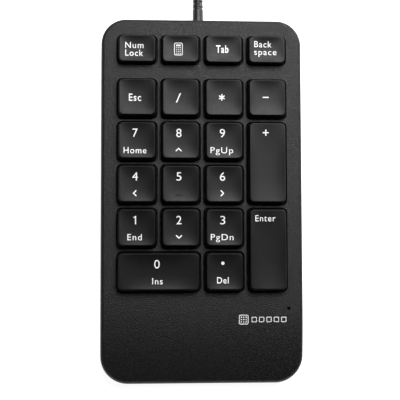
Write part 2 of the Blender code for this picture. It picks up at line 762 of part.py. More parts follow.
def make_fasteners(steel, rubber):
    """Six screws from below and four rubber feet."""
    for name, place in SCREWS.items():
        profile = [(SCREW_HEAD - SCREW_HEAD_BEVEL, SCREW_HEAD_BOTTOM),
                   (SCREW_HEAD, SCREW_HEAD_BOTTOM + SCREW_HEAD_BEVEL),
                   (SCREW_HEAD, SCREW_HEAD_TOP), (SCREW_SHANK, SCREW_HEAD_TOP), (SCREW_SHANK, SCREW_TIP)]
        make_piece(name, [turned(profile, STEM_SIDES, place)], steel)
    for name, place in FEET.items():
        profile = [(FOOT_RADIUS - FOOT_BEVEL, 0.0), (FOOT_RADIUS, FOOT_BEVEL), (FOOT_RADIUS, FOOT_HEIGHT)]
        make_piece(name, [turned(profile, FOOT_SIDES, place)], rubber)


# ---------------------------------------------------------------- cable

def make_boot(finish):
    """The strain relief: a flange inside the wall and a tapered sleeve outside it."""
    profile = [
        (BOOT_FLANGE, BOOT_INNER_END), (BOOT_FLANGE, HALF_DEPTH - WALL - GAP),
        (BOOT_RADIUS, HALF_DEPTH - WALL - GAP), (BOOT_RADIUS, HALF_DEPTH + OVERSHOOT),
        (BOOT_TIP_RADIUS, BOOT_END - 2 * BOOT_TIP_BEVEL), (BOOT_TIP_RADIUS - BOOT_TIP_BEVEL, BOOT_END),
    ]
    rings = [circle(radius, BOOT_SIDES, along) for radius, along in profile]
    make_piece("cable_boot", [loft(along_y(rings, CABLE_X, BOOT_Z))], finish)


def make_coil(finish):
    """The closed outer shape of the wound-up cable."""
    rings = []
    middle_radius = (COIL_INNER + COIL_OUTER) / 2
    middle_height = (COIL_BOTTOM + COIL_TOP) / 2
    section = rounded_ring(COIL_OUTER - COIL_INNER, COIL_TOP - COIL_BOTTOM, COIL_CORNER, 0.0)
    for side in range(COIL_SIDES):
        angle = math.tau * side / COIL_SIDES
        rings.append([
            (COIL_X + (middle_radius + out) * math.cos(angle),
             COIL_Y + (middle_radius + out) * math.sin(angle),
             middle_height + up)
            for out, up, unused in section
        ])
    make_piece("cable_coil", [loft(rings, closed=True)], finish)


def make_tie(finish):
    """A strap around the coil at its rear."""
    middle_y = COIL_Y + (COIL_INNER + COIL_OUTER) / 2
    middle_z = (COIL_BOTTOM + COIL_TOP) / 2
    corners = ((0.0, -TIE_HALF_WIDTH), (TIE_THICKNESS, -TIE_HALF_WIDTH), (TIE_THICKNESS, TIE_HALF_WIDTH),
               (0.0, TIE_HALF_WIDTH))
    rings = []
    for grow, across in corners:
        margin = 2 * (GAP + grow)
        ring = rounded_ring(COIL_OUTER - COIL_INNER + margin, COIL_TOP - COIL_BOTTOM + margin,
                            COIL_CORNER, 0.0)
        rings.append([(COIL_X + across, middle_y + along, middle_z + up) for along, up, unused in ring])
    make_piece("cable_tie", [loft(rings, closed=True)], finish)


def make_plug(mould, shell_finish, insulator_finish):
    """A USB plug lying beside the coil: overmould, metal shell and contact tongue."""
    rings = [rounded_ring(width, height, corner, PLUG_START - distance)
             for distance, width, height, corner in PLUG_SECTIONS]
    make_piece("usb_plug_overmould", [loft(along_y(rings, PLUG_X, PLUG_Z))], mould)
    shell_start = PLUG_START - PLUG_LENGTH - GAP
    shell_end = shell_start - SHELL_LENGTH
    inner_width = SHELL_WIDTH - 2 * SHELL_WALL
    inner_height = SHELL_HEIGHT - 2 * SHELL_WALL
    shell = [
        rounded_ring(SHELL_WIDTH, SHELL_HEIGHT, SHELL_CORNER, shell_start),
        rounded_ring(SHELL_WIDTH, SHELL_HEIGHT, SHELL_CORNER, shell_end),
        rounded_ring(inner_width, inner_height, SHELL_INNER_CORNER, shell_end),
        rounded_ring(inner_width, inner_height, SHELL_INNER_CORNER, shell_start),
    ]
    make_piece("usb_plug_shell", [loft(along_y(shell, PLUG_X, PLUG_Z), closed=True)], shell_finish)
    half = inner_width / 2 - GAP
    top = PLUG_Z + inner_height / 2 - GAP
    tongue = block((PLUG_X - half, shell_end + TONGUE_SETBACK, top - TONGUE_THICKNESS),
                   (PLUG_X + half, shell_start, top))
    make_piece("usb_plug_tongue", [tongue], insulator_finish)


# ---------------------------------------------------------------- assembly

def build():
    """Clear the scene and model the keypad."""
    for old in list(bpy.data.objects):
        bpy.data.objects.remove(old, do_unlink=True)
    deck = bpy.data.objects.new("deck_frame", None)
    deck.location = (0.0, 0.0, DECK_HEIGHT * MM)
    deck.rotation_euler = (TILT, 0.0, 0.0)
    bpy.context.collection.objects.link(deck)

    housing = material("housing_plastic", (0.032, 0.032, 0.033), 0.55)
    base = material("base_plastic", (0.02, 0.02, 0.021), 0.6)
    key = material("key_plastic", (0.018, 0.018, 0.019), 0.42)
    guide = material("guide_plastic", (0.05, 0.05, 0.052), 0.5)
    rubber = material("foot_rubber", (0.015, 0.015, 0.015), 0.8)
    silicone = material("dome_silicone", (0.55, 0.55, 0.52), 0.5)
    film = material("membrane_film", (0.5, 0.52, 0.5), 0.3)
    steel = material("plate_steel", (0.6, 0.6, 0.6), 0.35, 1.0)
    screw = material("screw_steel", (0.25, 0.25, 0.26), 0.35, 1.0)
    board = material("board_laminate", (0.02, 0.12, 0.05), 0.4)
    chip = material("chip_resin", (0.012, 0.012, 0.012), 0.4)
    connector = material("connector_nylon", (0.75, 0.73, 0.66), 0.5)
    lamp = material("lamp_resin", (0.7, 0.75, 0.6), 0.3)
    pipe = material("light_pipe_clear", (0.08, 0.08, 0.08), 0.1)
    jacket = material("cable_jacket", (0.015, 0.015, 0.016), 0.5)
    shell = material("plug_steel", (0.75, 0.75, 0.75), 0.25, 1.0)
    tongue = material("tongue_plastic", (0.01, 0.01, 0.01), 0.4)

    make_top_cover(housing, deck)
    make_bottom_cover(base)
    make_keys(key, deck)
    make_key_frame(guide, deck)
    make_dome_sheet(silicone, deck)
    make_membranes(film, deck)
    make_support_plate(steel, deck)
    make_electronics(board, chip, connector, lamp, pipe)
    make_fasteners(screw, rubber)
    make_boot(jacket)
    make_tube("inner_lead", INNER_ROUTE, LEAD_RADIUS, jacket, INNER_POINTS)
    make_tube("cable_lead", CABLE_ROUTE, CABLE_RADIUS, jacket, CABLE_POINTS)
    make_tube("cable_tail", TAIL_ROUTE, CABLE_RADIUS, jacket, TAIL_POINTS)
    make_coil(jacket)
    make_tie(jacket)
    make_plug(jacket, shell, tongue)


build()
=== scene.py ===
"""Looks of the numeric keypad: fine meshes, grained plastics, printed legends and the wound cable.

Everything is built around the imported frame.  Lengths are millimetres unless a comment says
metres; make_mesh() turns them into metres.  Deck coordinates x, v, w lie on the sloping deck:
v runs up to the rear and w is the height above the deck's surface.  A profile is a row of
(radius, place along the axis) pairs.
"""

import json
import math
from math import cos, radians, sin

import bmesh
import bpy
from mathutils import Matrix, Vector


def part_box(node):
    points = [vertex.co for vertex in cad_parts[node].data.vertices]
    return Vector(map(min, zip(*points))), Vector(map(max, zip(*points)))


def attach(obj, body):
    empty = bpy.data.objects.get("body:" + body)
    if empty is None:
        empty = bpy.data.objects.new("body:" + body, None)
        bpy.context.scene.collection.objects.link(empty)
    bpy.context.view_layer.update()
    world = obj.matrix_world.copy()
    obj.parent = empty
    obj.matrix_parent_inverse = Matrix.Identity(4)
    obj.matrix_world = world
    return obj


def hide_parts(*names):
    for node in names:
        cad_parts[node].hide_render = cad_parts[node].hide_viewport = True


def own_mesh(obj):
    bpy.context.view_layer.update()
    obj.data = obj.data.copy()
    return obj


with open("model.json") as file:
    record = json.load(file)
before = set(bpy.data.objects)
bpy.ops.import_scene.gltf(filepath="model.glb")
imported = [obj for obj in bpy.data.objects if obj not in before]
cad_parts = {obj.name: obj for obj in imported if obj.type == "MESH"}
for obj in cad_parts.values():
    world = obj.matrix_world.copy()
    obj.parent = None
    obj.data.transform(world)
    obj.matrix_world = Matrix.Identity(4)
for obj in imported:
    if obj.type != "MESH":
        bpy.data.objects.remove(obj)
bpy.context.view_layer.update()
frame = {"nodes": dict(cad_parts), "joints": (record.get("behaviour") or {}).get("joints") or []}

MM = 0.001
FINISHES = {}
SHARP_ANGLE = 32
CUT = 1  # how far a cutter reaches past what it cuts


def node_box(name):
    """A CAD node's lowest and highest corners and its middle."""
    low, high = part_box(name)
    low, high = low / MM, high / MM
    return low, high, (low + high) / 2


# ---- housing ----
COVER_LOW, COVER_HIGH = node_box("top_cover")[:2]
PRESS_AXIS = frame["joints"][0]["axis"]
TILT = math.atan2(PRESS_AXIS[1], -PRESS_AXIS[2])
HALF_WIDTH, HALF_DEPTH = COVER_HIGH.xy
DECK_HEIGHT = 17.5
DECK = Matrix.Translation((0, 0, DECK_HEIGHT)) @ Matrix.Rotation(TILT, 4, "X")
TO_DECK = DECK.inverted()
REAR_CORNER = 11
FRONT_CORNER = 12
CORNER_STEPS = 18
PALM_START = -48
PALM_DROP = 3.9
PALM_STEPS = 14
EDGE_ROUND = 1.7
EDGE_STEPS = 8
WALL = 2
SKIN = 2
SEAM_Z = COVER_LOW.z
SEAM_EDGE = ((0.35, 0), (0.08, 0.12), (0, 0.4))  # inset and rise of the cover's lower edge
BOSS_RADIUS = 3
SCREW_HOLE = 1.5
SCREW_HOLE_TOP = 8.6
LAMP_HOLE = 0.62
LAMP_HOLE_MOUTH = 0.8

BASE_UNDERSIDE = node_box("bottom_cover")[0].z
BASE_RIM = SEAM_Z - 0.3  # leaves the seam's gap
BASE_FLAT = 2.2  # inset of the underside's flat part
BASE_ROUND = 1.3
BASE_FLOOR = 3  # top of the floor inside
BASE_EDGE = ((0, -0.25), (0.06, -0.06), (0.3, 0))  # inset and rise of the rim's outer edge
LIP_INSET = WALL + 0.3
LIP_RISE = 1.2
LIP_WALL = 1
PAD_BOTTOM = 2.4  # pads and posts start inside the floor
PAD_TOP = 5
PAD_RADIUS = 4
POST_TOP = 4
POST_RADIUS = 1.5
BOARD_POSTS = ((-20, -60.5), (36.5, -60.5), (8, -51.5))
LABEL_WIDTH = 46
LABEL_DEPTH = 24
LABEL_CENTRE = (0, 8)
LABEL_RECESS = 0.25
SCREW_RECESS = ((3.25, 0), (3.05, BASE_UNDERSIDE + 0.2), (2.9, BASE_UNDERSIDE + 0.45),
                (2.9, BASE_FLOOR), (SCREW_HOLE, BASE_FLOOR), (SCREW_HOLE, 6))
FOOT_POCKET = ((5.35, 0), (5.15, BASE_UNDERSIDE + 0.15), (5, BASE_UNDERSIDE + 0.4), (5, 2))
SCREW_HEAD = ((0.3, 1.62), (1.4, 1.58), (2.1, 1.68), (2.42, 1.95), (2.5, 2.3), (2.5, 2.7), (1.2, 2.7))
SCREW_CROSS = ((1.35, 0.3), (0.3, 1.35))  # half sizes of the cross's two slots
SCREW_CROSS_TOP = 2.35
THREAD_RADII = (1.2, 0.95)  # crest and root
THREAD_START = 2.9
THREAD_STEP = 0.45
THREAD_STEPS = 11
FOOT_FACE = ((0.6, 0.12), (2.6, 0.08), (3.6, 0), (4.1, 0.02), (4.45, 0.14), (4.64, 0.35), (4.7, 0.65))

# ---- keys ----
PITCH = 19.05
KEY_RISE = 4.6
SKIRT_BOTTOM = -1
STEM_RADIUS = 2.5
STEM_BOTTOM = -6
GUIDE_POST = (-5.4, 3.4)  # lower and upper end of a long key's guide posts
ROOF_UNDERSIDE = 3.1
KEY_WALL = 1.1
KEY_CORNER = 2.2  # corner radius round the sides
SIDE_TOP_CORNER = 2
EDGE_CORNER = 1.7
INNER_CORNER = 1.2
# inset, rise and corner radius at the foot of the skirt
SKIRT_LEVELS = ((0.25, 0, 1.95), (0.05, 0.12, 2.1), (0, 0.35, KEY_CORNER), (0, 1.2, KEY_CORNER))
SLOPE_START = 0.2  # height at which the sides start to lean in
KEY_GRID = 1.15  # size of the mesh cells along a key's sides
CORNER_HALF = 4  # steps in half of a corner's arc
LEVEL_TOLERANCE = 0.05
RIM_ROUND = 0.38
RIM_LEAN = 0.8 * RIM_ROUND  # how far the rim's round stands out from the top
DISH_DEPTH = 0.65
DISH_POWER = 2.5  # a higher power keeps the slope up to the rim
OPENING_GAP = 0.3
OPENING_CORNER = 2.3
OPENING_LIP = 0.32
HOMING_SIZE = (3.6, 0.72)
HOMING_CORNER = 0.24
HOMING_PLACE = (-0.45, -4.75)
HOMING_LEVELS = ((-0.3, 0), (0.12, 0), (0.27, -0.08), (0.35, -0.22))  # height and growth

# ---- domes ----
DOME_SHEET_TOP = -9
DOME_SHEET_CORNER = 2
DOME_HOLE = 3.2
# radius and share of the height, from the inner ceiling down, under the foot and up to the top
DOME_PROFILE = (
    (1.9, 0.84), (2.15, 0.79), (2.7, 0.5), (3.1, 0.2), (3.2, -0.03), (3.7, -0.03), (3.6, 0.2),
    (3.25, 0.52), (2.75, 0.85), (2.45, 0.98), (1.6, 1),
)
STAKE_HOLE = 1.3
STAKES = ((-PITCH, 34.9), (PITCH, 34.9), (-PITCH, -3.2), (PITCH, -3.2))
BOSS_CLEARANCE = 3.3
REAR_BOSSES = ((-PITCH, 56), (PITCH, 56))

# ---- legends ----
LETTER_SPACING = 1.15
FONT_LINE = 0.090  # the font's own line width, in units of its size
INK_LINE = 0.094  # the printed line's width, kept when a word is widened
INK_HEIGHT = 0.02
INK_LIFT = 0.006
LEGEND_GRID = 0.7
LEGEND_SHIFT = -0.8  # the legends stand a little left of the middle
WORD_CAP = 2.65
DIGIT_CAP = 3.6
WORD_BASE = -5.45
DIGIT_BASE = 1.45
SYMBOL_LINE = 0.5
SYMBOL_BAR = (2.7, SYMBOL_LINE)
PLUS_Y = 3.55
MITRE_LIMIT = 0.3
CHEVRON = ((-1.25, -0.6), (0, 0.6), (1.25, -0.6))
CHEVRON_LINE = 0.48
BUTTON_PITCH = (0.78, -0.88)
BUTTON_SIZE = (0.36, 0.40)
MARK_X, MARK_V = 26.3, -52.6
MARK_GRID_X = MARK_X - 8.2
MARK_SQUARES_X = MARK_X - 3.6

# ---- cable ----
CABLE_X = -0.7
BOOT_Z = 7.75
SLOT_RADIUS = 2.75
SLOT_STEPS = 20
CABLE_RADIUS = 2
COIL_CENTRE = (-1, 156)
WIND_PITCH = 4.1
WIND_RADIUS = 21  # middle of the turns
WIND_FLOOR = 3.25  # centre height of the lowest layer, which lies on the tie
WIND_STEP = 8  # degrees between two points
MOVE_OUT = (270, 90)  # degrees at which a turn starts to change, and over which it does
CLIMB = (230, 80)
CLIMB_OUT = (280, 80)
LEAD_IN = 55
LEAVE_FROM = 75
LEAVE_HASTE = 1.25  # the last turn moves out faster than it comes down
CABLE_ROUTE = (
    (-0.7, 98.3, 7.75), (-0.6, 102, 7.5), (0, 106, 6.5), (1.6, 110, 5.1), (4.2, 114, 3.7),
    (7.6, 117.4, 2.6), (11.4, 120.2, 2.1), (15.3, 123.2, 2.1), (19.6, 127.2, 2.1), (23.7, 132.6, 2.1),
    (27.1, 139, 2.2), (29.5, 146.4, 2.5), (30.6, 151.7, 2.9), (30.9, 156, 3.2),
)
TAIL_ROUTE = (
    (-28.6, 172, 3.2), (-31, 167.9, 2.9), (-33.4, 163.8, 2.5), (-35.6, 159.9, 2.4),
    (-37.4, 156.2, 2.7), (-38.6, 152.8, 3.5), (-39.3, 150, 4.2), (-39.4, 148, 4.3),
)
# the tie's band: place along the bundle and thickness
TIE_BAND = ((-1.5, 0.28), (-1, 0.3), (-0.45, 0.36), (0, 0.56), (0.45, 0.36), (1, 0.3),
            (1.5, 0.28), (1.5, 0), (-1.5, 0))
TIE_CORNER = 3.4
TWIST_STEPS = 24
TWIST_TURN = 540
TWIST_RISE = 6.4
TWIST_RADIUS = 0.45
TWIST_PART = 0.75  # share of the height at which the two ends part
TWIST_SPLAY = 6
STRIP_HALF = (1.05, 0.3)

# ---- plug ----
# share of the grip's length from the cable's end, width, depth and corner radius
GRIP_SECTIONS = (
    (0, 4.7, 4.7, 2.3), (0.012, 5.1, 5.1, 2.5), (0.10, 5.3, 5.2, 2.5), (0.22, 6.2, 5.7, 2.6),
    (0.29, 8.2, 6.4, 2.7), (0.345, 11.4, 7.1, 2.6), (0.40, 14, 7.7, 2.5), (0.46, 15.4, 7.95, 2.4),
    (0.55, 15.8, 8, 2.3), (0.94, 15.8, 8, 2.3), (0.975, 15.5, 7.75, 2.1),
    (0.995, 14.9, 7.2, 1.8), (1, 14.2, 6.6, 1.5),
)
GROOVES = 5
GROOVE_START = 5.5
GROOVE_PITCH = 2.2
GROOVE_HALF = 2.2
GROOVE_REACH = ((7.45, 0.4), (9, 0.7))  # distance from the middle and half width
SHELL_SKIN = 0.7
SHELL_CORNER = 0.7
WINDOW_X = 2.55
WINDOW_Y = 5.6
WINDOW_HALF = (1.15, 1.1)
CONTACTS = ((-3.5, 0), (-1, 1), (1, 1), (3.5, 0))  # place and setback
CONTACT_HALF = 0.5

# ---- materials, stage (metres) ----
RAMP_PLACES = (0.32, 0.68)  # noise values that give the dark and the light limit
GLOSS_SCALE = 0.4  # the uneven gloss is coarser than the grain
FLOOR_HALF = 12


# ---- mesh helpers ----

def arc(x, y, radius, start, turn, steps):
    """Points round a middle from a start angle through a turn, both ends included."""
    angles = [radians(start + turn * step / steps) for step in range(steps + 1)]
    return [(x + radius * cos(angle), y + radius * sin(angle)) for angle in angles]


def rounded_ring(width, depth, radius, steps, height, centre=(0, 0)):
    """A rounded rectangle's points at one height, anticlockwise from above."""
    points = []
    for side_x, side_y, start in ((1, 1, 0), (-1, 1, 90), (-1, -1, 180), (1, -1, 270)):
        points += arc(centre[0] + side_x * (width / 2 - radius), centre[1] + side_y * (depth / 2 - radius),
                      radius, start, 90, steps)
    return [(x, y, height) for x, y in points]


def circle(radius, sides, height, centre=(0, 0)):
    """A circle's points at one height."""
    return [(x, y, height) for x, y in arc(*centre, radius, 0, 360, sides)[:-1]]


def rectangle(x, y, half_x, half_y):
    """Four corners round a middle, anticlockwise from above."""
    return [(x - half_x, y - half_y), (x + half_x, y - half_y),
            (x + half_x, y + half_y), (x - half_x, y + half_y)]


def quarter(radius, angles):
    """A quarter round: how far each angle is from the round's start and from its end."""
    return [(radius * (1 - cos(radians(angle))), radius * (1 - sin(radians(angle))))
            for angle in angles]


def band(first, second, count):
    """Faces between two rings, given the numbers of their first points."""
    return [(first + k, first + (k + 1) % count, second + (k + 1) % count, second + k)
            for k in range(count)]


def loft(rings, closed=False):
    """A body through equal-sized rings: capped at both ends, or closed into a loop."""
    count = len(rings[0])
    points = [point for ring in rings for point in ring]
    faces = []
    for span in range(len(rings) if closed else len(rings) - 1):
        faces += band(span * count, (span + 1) % len(rings) * count, count)
    if not closed:
        faces.append(tuple(range(count)))
        faces.append(tuple((len(rings) - 1) * count + k for k in range(count)))
    return points, faces


def turned(profile, centre=(0, 0), sides=32):
    """A body turned about a vertical axis."""
    return loft([circle(radius, sides, height, centre) for radius, height in profile])


def prism(outline, bottom, top):
    """A flat outline drawn out between two heights."""
    return loft([[(x, y, bottom) for x, y in outline], [(x, y, top) for x, y in outline]])


def along_y(rings, centre_x, centre_z):
    """Rings drawn flat are stood up across Y: their height becomes the place along Y."""
    return [[(centre_x + x, along, centre_z + z) for x, z, along in ring] for ring in rings]


def stood(sections, steps, middle, closed=False):
    """A body along Y through rounded rectangles, each (width, height, corner radius, place)."""
    rings = [rounded_ring(width, tall, radius, steps, y) for width, tall, radius, y in sections]
    return loft(along_y(rings, middle.x, middle.z), closed)


def mapped(bodies, change):
    """Bodies with every point changed by a function."""
    return [([tuple(change(Vector(point))) for point in points], faces) for points, faces in bodies]


def on_deck(bodies):
    """Bodies given in deck coordinates, placed in the world."""
    return mapped(bodies, lambda point: DECK @ point)


def filled(bodies, scale=1):
    """A work mesh of all the bodies."""
    work = bmesh.new()
    for points, faces in bodies:
        vertices = [work.verts.new(Vector(point) * scale) for point in points]
        for face in faces:
            work.faces.new([vertices[k] for k in face])
    return work


def make_mesh(name, bodies, sharp=SHARP_ANGLE):
    """A mesh in metres from closed bodies in millimetres, faces pointing out."""
    work = filled(bodies, MM)
    bmesh.ops.recalc_face_normals(work, faces=work.faces)
    mesh = bpy.data.meshes.new(name)
    work.to_mesh(mesh)
    work.free()
    mesh.shade_smooth()
    mesh.set_sharp_from_angle(angle=radians(sharp))
    return mesh


def add_object(name, data):
    """A new object, linked into the scene."""
    item = bpy.data.objects.new(name, data)
    bpy.context.scene.collection.objects.link(item)
    return item


def final_mesh(item):
    """A new mesh of an object as its modifiers leave it."""
    bpy.context.view_layer.update()
    return bpy.data.meshes.new_from_object(item.evaluated_get(bpy.context.evaluated_depsgraph_get()))


def dress(piece, finish, body, stands_for=()):
    """Material, body and the CAD nodes that a piece stands for."""
    piece.data.materials.clear()
    piece.data.materials.append(FINISHES[finish])
    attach(piece, body)
    if stands_for:
        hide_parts(*stands_for)


def make_piece(name, bodies, slot, stands_for=(), finish=None, body="housing", sharp=SHARP_ANGLE):
    """A visible piece that rides on a CAD body, in the finish named like its slot or in another."""
    piece = add_object(name, make_mesh(name, bodies, sharp))
    dress(piece, finish or slot, body, stands_for)
    return piece


def carve(piece, steps):
    """Exact Booleans, each (operation, bodies), worked into the piece's own mesh."""
    tools = []
    for operation, bodies in steps:
        tool = add_object("tool", make_mesh("tool", bodies))
        tools.append(tool)
        step = piece.modifiers.new("carve", "BOOLEAN")
        step.operation = operation
        step.solver = "EXACT"
        step.object = tool
    done = final_mesh(piece)
    piece.modifiers.clear()
    piece.data = done
    for tool in tools:
        bpy.data.objects.remove(tool, do_unlink=True)
    done.shade_smooth()
    done.set_sharp_from_angle(angle=radians(SHARP_ANGLE))
    flatter = piece.modifiers.new("weighted_normals", "WEIGHTED_NORMAL")
    flatter.keep_sharp = True


# ---- materials ----

def set_inputs(node, values):
    """Set a shader node's own input values."""
    for name, value in values.items():
        node.inputs[name].default_value = value


def noise(tree, scale, detail, roughness, stretch=None):
    """A noise texture in object space; scale is in cycles per metre."""
    source = tree.nodes.new("ShaderNodeTexCoord").outputs["Object"]
    texture = tree.nodes.new("ShaderNodeTexNoise")
    set_inputs(texture, {"Scale": scale, "Detail": detail, "Roughness": roughness})
    if stretch:
        mapping = tree.nodes.new("ShaderNodeMapping")
        set_inputs(mapping, {"Scale": stretch})
        tree.links.new(source, mapping.inputs["Vector"])
        source = mapping.outputs["Vector"]
    tree.links.new(source, texture.inputs["Vector"])
    return texture.outputs["Fac"]


def surface(name, tones, rough, grain, height, mottle=120, metallic=0, specular=0.5,
            stretch=None, warm=0):
    """A plastic, rubber or metal with mottled colour, uneven gloss and a fine grain.

    tones are the darkest and lightest grey or colour, and warm tints a grey.  rough holds the
    roughness limits.  grain and mottle are the bump's and the colour's cycles per metre, and
    height is the bump's depth in metres.
    """
    made = bpy.data.materials.new(name)
    made.use_nodes = True
    tree = made.node_tree
    link = tree.links.new
    shader = tree.nodes["Principled BSDF"]
    set_inputs(shader, {"Metallic": metallic, "Specular IOR Level": specular})
    ramp = tree.nodes.new("ShaderNodeValToRGB")
    for element, place, tone in zip(ramp.color_ramp.elements, RAMP_PLACES, tones):
        colour = tone if isinstance(tone, tuple) else (tone * (1 + warm), tone, tone * (1 - warm))
        element.position = place
        element.color = (*colour, 1)
    link(noise(tree, mottle, 4, 0.6, stretch), ramp.inputs["Fac"])
    link(ramp.outputs["Color"], shader.inputs["Base Color"])
    gloss = tree.nodes.new("ShaderNodeMapRange")
    set_inputs(gloss, {"From Min": 0.3, "From Max": 0.7, "To Min": rough[0], "To Max": rough[1]})
    link(noise(tree, grain * GLOSS_SCALE, 3, 0.6, stretch), gloss.inputs["Value"])
    link(gloss.outputs["Result"], shader.inputs["Roughness"])
    bump = tree.nodes.new("ShaderNodeBump")
    set_inputs(bump, {"Strength": 1, "Distance": height})
    link(noise(tree, grain, 2, 0.55, stretch), bump.inputs["Height"])
    link(bump.outputs["Normal"], shader.inputs["Normal"])
    FINISHES[name] = made


def make_finishes():
    """Every finish."""
    surface("housing_plastic", (0.0040, 0.0070), (0.36, 0.56), 2500, 2.1e-4, 900, specular=0.34)
    surface("base_plastic", (0.010, 0.014), (0.5, 0.62), 2200, 1.8e-5, 700)
    surface("key_plastic", (0.0038, 0.0052), (0.38, 0.44), 2400, 8e-6, 500, specular=0.20)
    surface("legend_ink", (0.90, 0.96), (0.5, 0.6), 6000, 2e-6, 900)
    surface("mark_ink", (0.86, 0.94), (0.45, 0.55), 6000, 2e-6, 900)
    surface("guide_plastic", (0.030, 0.040), (0.45, 0.55), 900, 1e-5)
    surface("foot_rubber", (0.012, 0.018), (0.7, 0.85), 1800, 2e-5)
    surface("dome_silicone", (0.48, 0.56), (0.4, 0.5), 700, 1e-5, warm=0.02)
    surface("membrane_film", (0.42, 0.52), (0.2, 0.35), 300, 4e-6)
    surface("plate_steel", (0.52, 0.62), (0.28, 0.42), 900, 4e-6, metallic=1, stretch=(1, 14, 1))
    surface("screw_steel", (0.16, 0.24), (0.3, 0.45), 2500, 6e-6, metallic=1)
    surface("board_laminate", ((0.012, 0.085, 0.035), (0.018, 0.12, 0.05)), (0.25, 0.4), 500, 1e-5)
    surface("chip_resin", (0.010, 0.016), (0.4, 0.55), 3000, 6e-6)
    surface("connector_nylon", (0.62, 0.7), (0.4, 0.5), 900, 6e-6, warm=0.06)
    surface("lamp_resin", (0.6, 0.7), (0.15, 0.25), 600, 3e-6)
    surface("light_pipe_clear", (0.001, 0.002), (0.10, 0.16), 600, 2e-6, specular=0.05)
    surface("cable_jacket", (0.009, 0.013), (0.38, 0.5), 1500, 8e-6, 300)
    surface("plug_mould", (0.010, 0.014), (0.45, 0.58), 2400, 1e-5)
    surface("plug_steel", (0.42, 0.50), (0.20, 0.32), 1600, 1.5e-6, metallic=1,
            stretch=(1, 10, 1), warm=0.01)
    surface("contact_gold", ((0.72, 0.5, 0.2), (0.82, 0.6, 0.28)), (0.18, 0.28), 1800, 1e-6, metallic=1)
    surface("tongue_plastic", (0.008, 0.012), (0.35, 0.5), 1200, 4e-6)


# ---- housing ----

def deck_z(y):
    """Height of the top cover's surface at a world y."""
    height = DECK_HEIGHT + y * math.tan(TILT)
    if y < PALM_START:
        share = (PALM_START - y) / (PALM_START + HALF_DEPTH)
        height -= PALM_DROP * share * share
    return height


def half_outline(inset):
    """The right half of the housing's outline, rear to front, moved in by inset."""
    front_y = -HALF_DEPTH + FRONT_CORNER
    rear = arc(HALF_WIDTH - REAR_CORNER, HALF_DEPTH - REAR_CORNER, REAR_CORNER - inset, 90, -90, CORNER_STEPS)
    front = arc(HALF_WIDTH - FRONT_CORNER, front_y, FRONT_CORNER - inset, 0, -90, CORNER_STEPS)
    side = [(HALF_WIDTH - inset, PALM_START + (front_y - PALM_START) * step / PALM_STEPS)
            for step in range(PALM_STEPS)]
    return rear + side + front


def housing_ring(inset, height):
    """The housing's outline at a height, which is a number or a function of y."""
    right = half_outline(inset)
    outline = right + [(-x, y) for x, y in reversed(right)]
    return [(x, y, height(y) if callable(height) else height) for x, y in outline]


def ladder(start, count):
    """Faces across a ring whose second half mirrors its first, one per pair of points."""
    return [(start + k, start + k + 1, start + count - 2 - k, start + count - 1 - k)
            for k in range(count // 2 - 1)]


def cover_body():
    """The top cover's rounded shell, hollow below, without holes."""
    rings = [housing_ring(inset, SEAM_Z + rise) for inset, rise in SEAM_EDGE]
    for inset, drop in quarter(EDGE_ROUND, [90 * step / EDGE_STEPS for step in range(EDGE_STEPS + 1)]):
        rings.append(housing_ring(inset, lambda y, drop=drop: deck_z(y) - drop))
    outer = len(rings)
    rings.append(housing_ring(WALL, SEAM_Z))
    rings.append(housing_ring(WALL, lambda y: deck_z(y) - SKIN))
    count = len(rings[0])
    points = [point for ring in rings for point in ring]
    faces = []
    for low, high in [(k, k + 1) for k in range(outer - 1)] + [(0, outer), (outer, outer + 1)]:
        faces += band(low * count, high * count, count)
    faces += ladder((outer - 1) * count, count) + ladder((outer + 1) * count, count)
    return points, faces


def deck_points(node):
    """A CAD node's points in deck coordinates."""
    return [TO_DECK @ (vertex.co / MM) for vertex in node.data.vertices]


class KeyPlace:
    """A key node's base and top in deck coordinates, read from its mesh."""

    def __init__(self, node):
        points = deck_points(node)
        self.x, self.v, self.width, self.depth = self.extent(points, SKIRT_BOTTOM)
        top_v, self.top_width, self.top_depth = self.extent(points, KEY_RISE)[1:]
        self.shift = top_v - self.v

    @staticmethod
    def extent(points, height):
        """Middle across and along, width and depth of the points at one height."""
        across, along = zip(*(point.xy for point in points if abs(point.z - height) < LEVEL_TOLERANCE))
        return ((min(across) + max(across)) / 2, (min(along) + max(along)) / 2,
                max(across) - min(across), max(along) - min(along))

    def dish(self, x, y):
        """Height of the key's top at a place measured from the middle of the top."""
        across = min(1, abs(x) / (self.top_width / 2))
        along = min(1, abs(y) / (self.top_depth / 2))
        return KEY_RISE - DISH_DEPTH * (1 - across ** DISH_POWER) * (1 - along ** DISH_POWER)


def key_places():
    """Every key's place, by the node's name without its key_."""
    return {name[4:]: KeyPlace(node) for name, node in frame["nodes"].items()
            if name.startswith("key_") and name != "key_frame"}


def nodes_called(start):
    """Name, highest z and place of each CAD node whose name starts so, in the names' order."""
    for name in sorted(frame["nodes"]):
        if name.startswith(start):
            high, middle = node_box(name)[1:]
            yield name, high.z, (middle.x, middle.y)


def opening_tool(key):
    """A key opening's cutter: straight sides and a rounded lip at the deck's surface."""
    levels = [(-SKIN - 2 * CUT, 0), (-OPENING_LIP, 0)]
    levels += [(-short, out) for out, short in quarter(OPENING_LIP, (20, 40, 60, 80))]
    levels.append((CUT, levels[-1][1]))
    return loft([rounded_ring(key.width + 2 * (OPENING_GAP + out), key.depth + 2 * (OPENING_GAP + out),
                              OPENING_CORNER + out, 6, height, (key.x, key.v)) for height, out in levels])


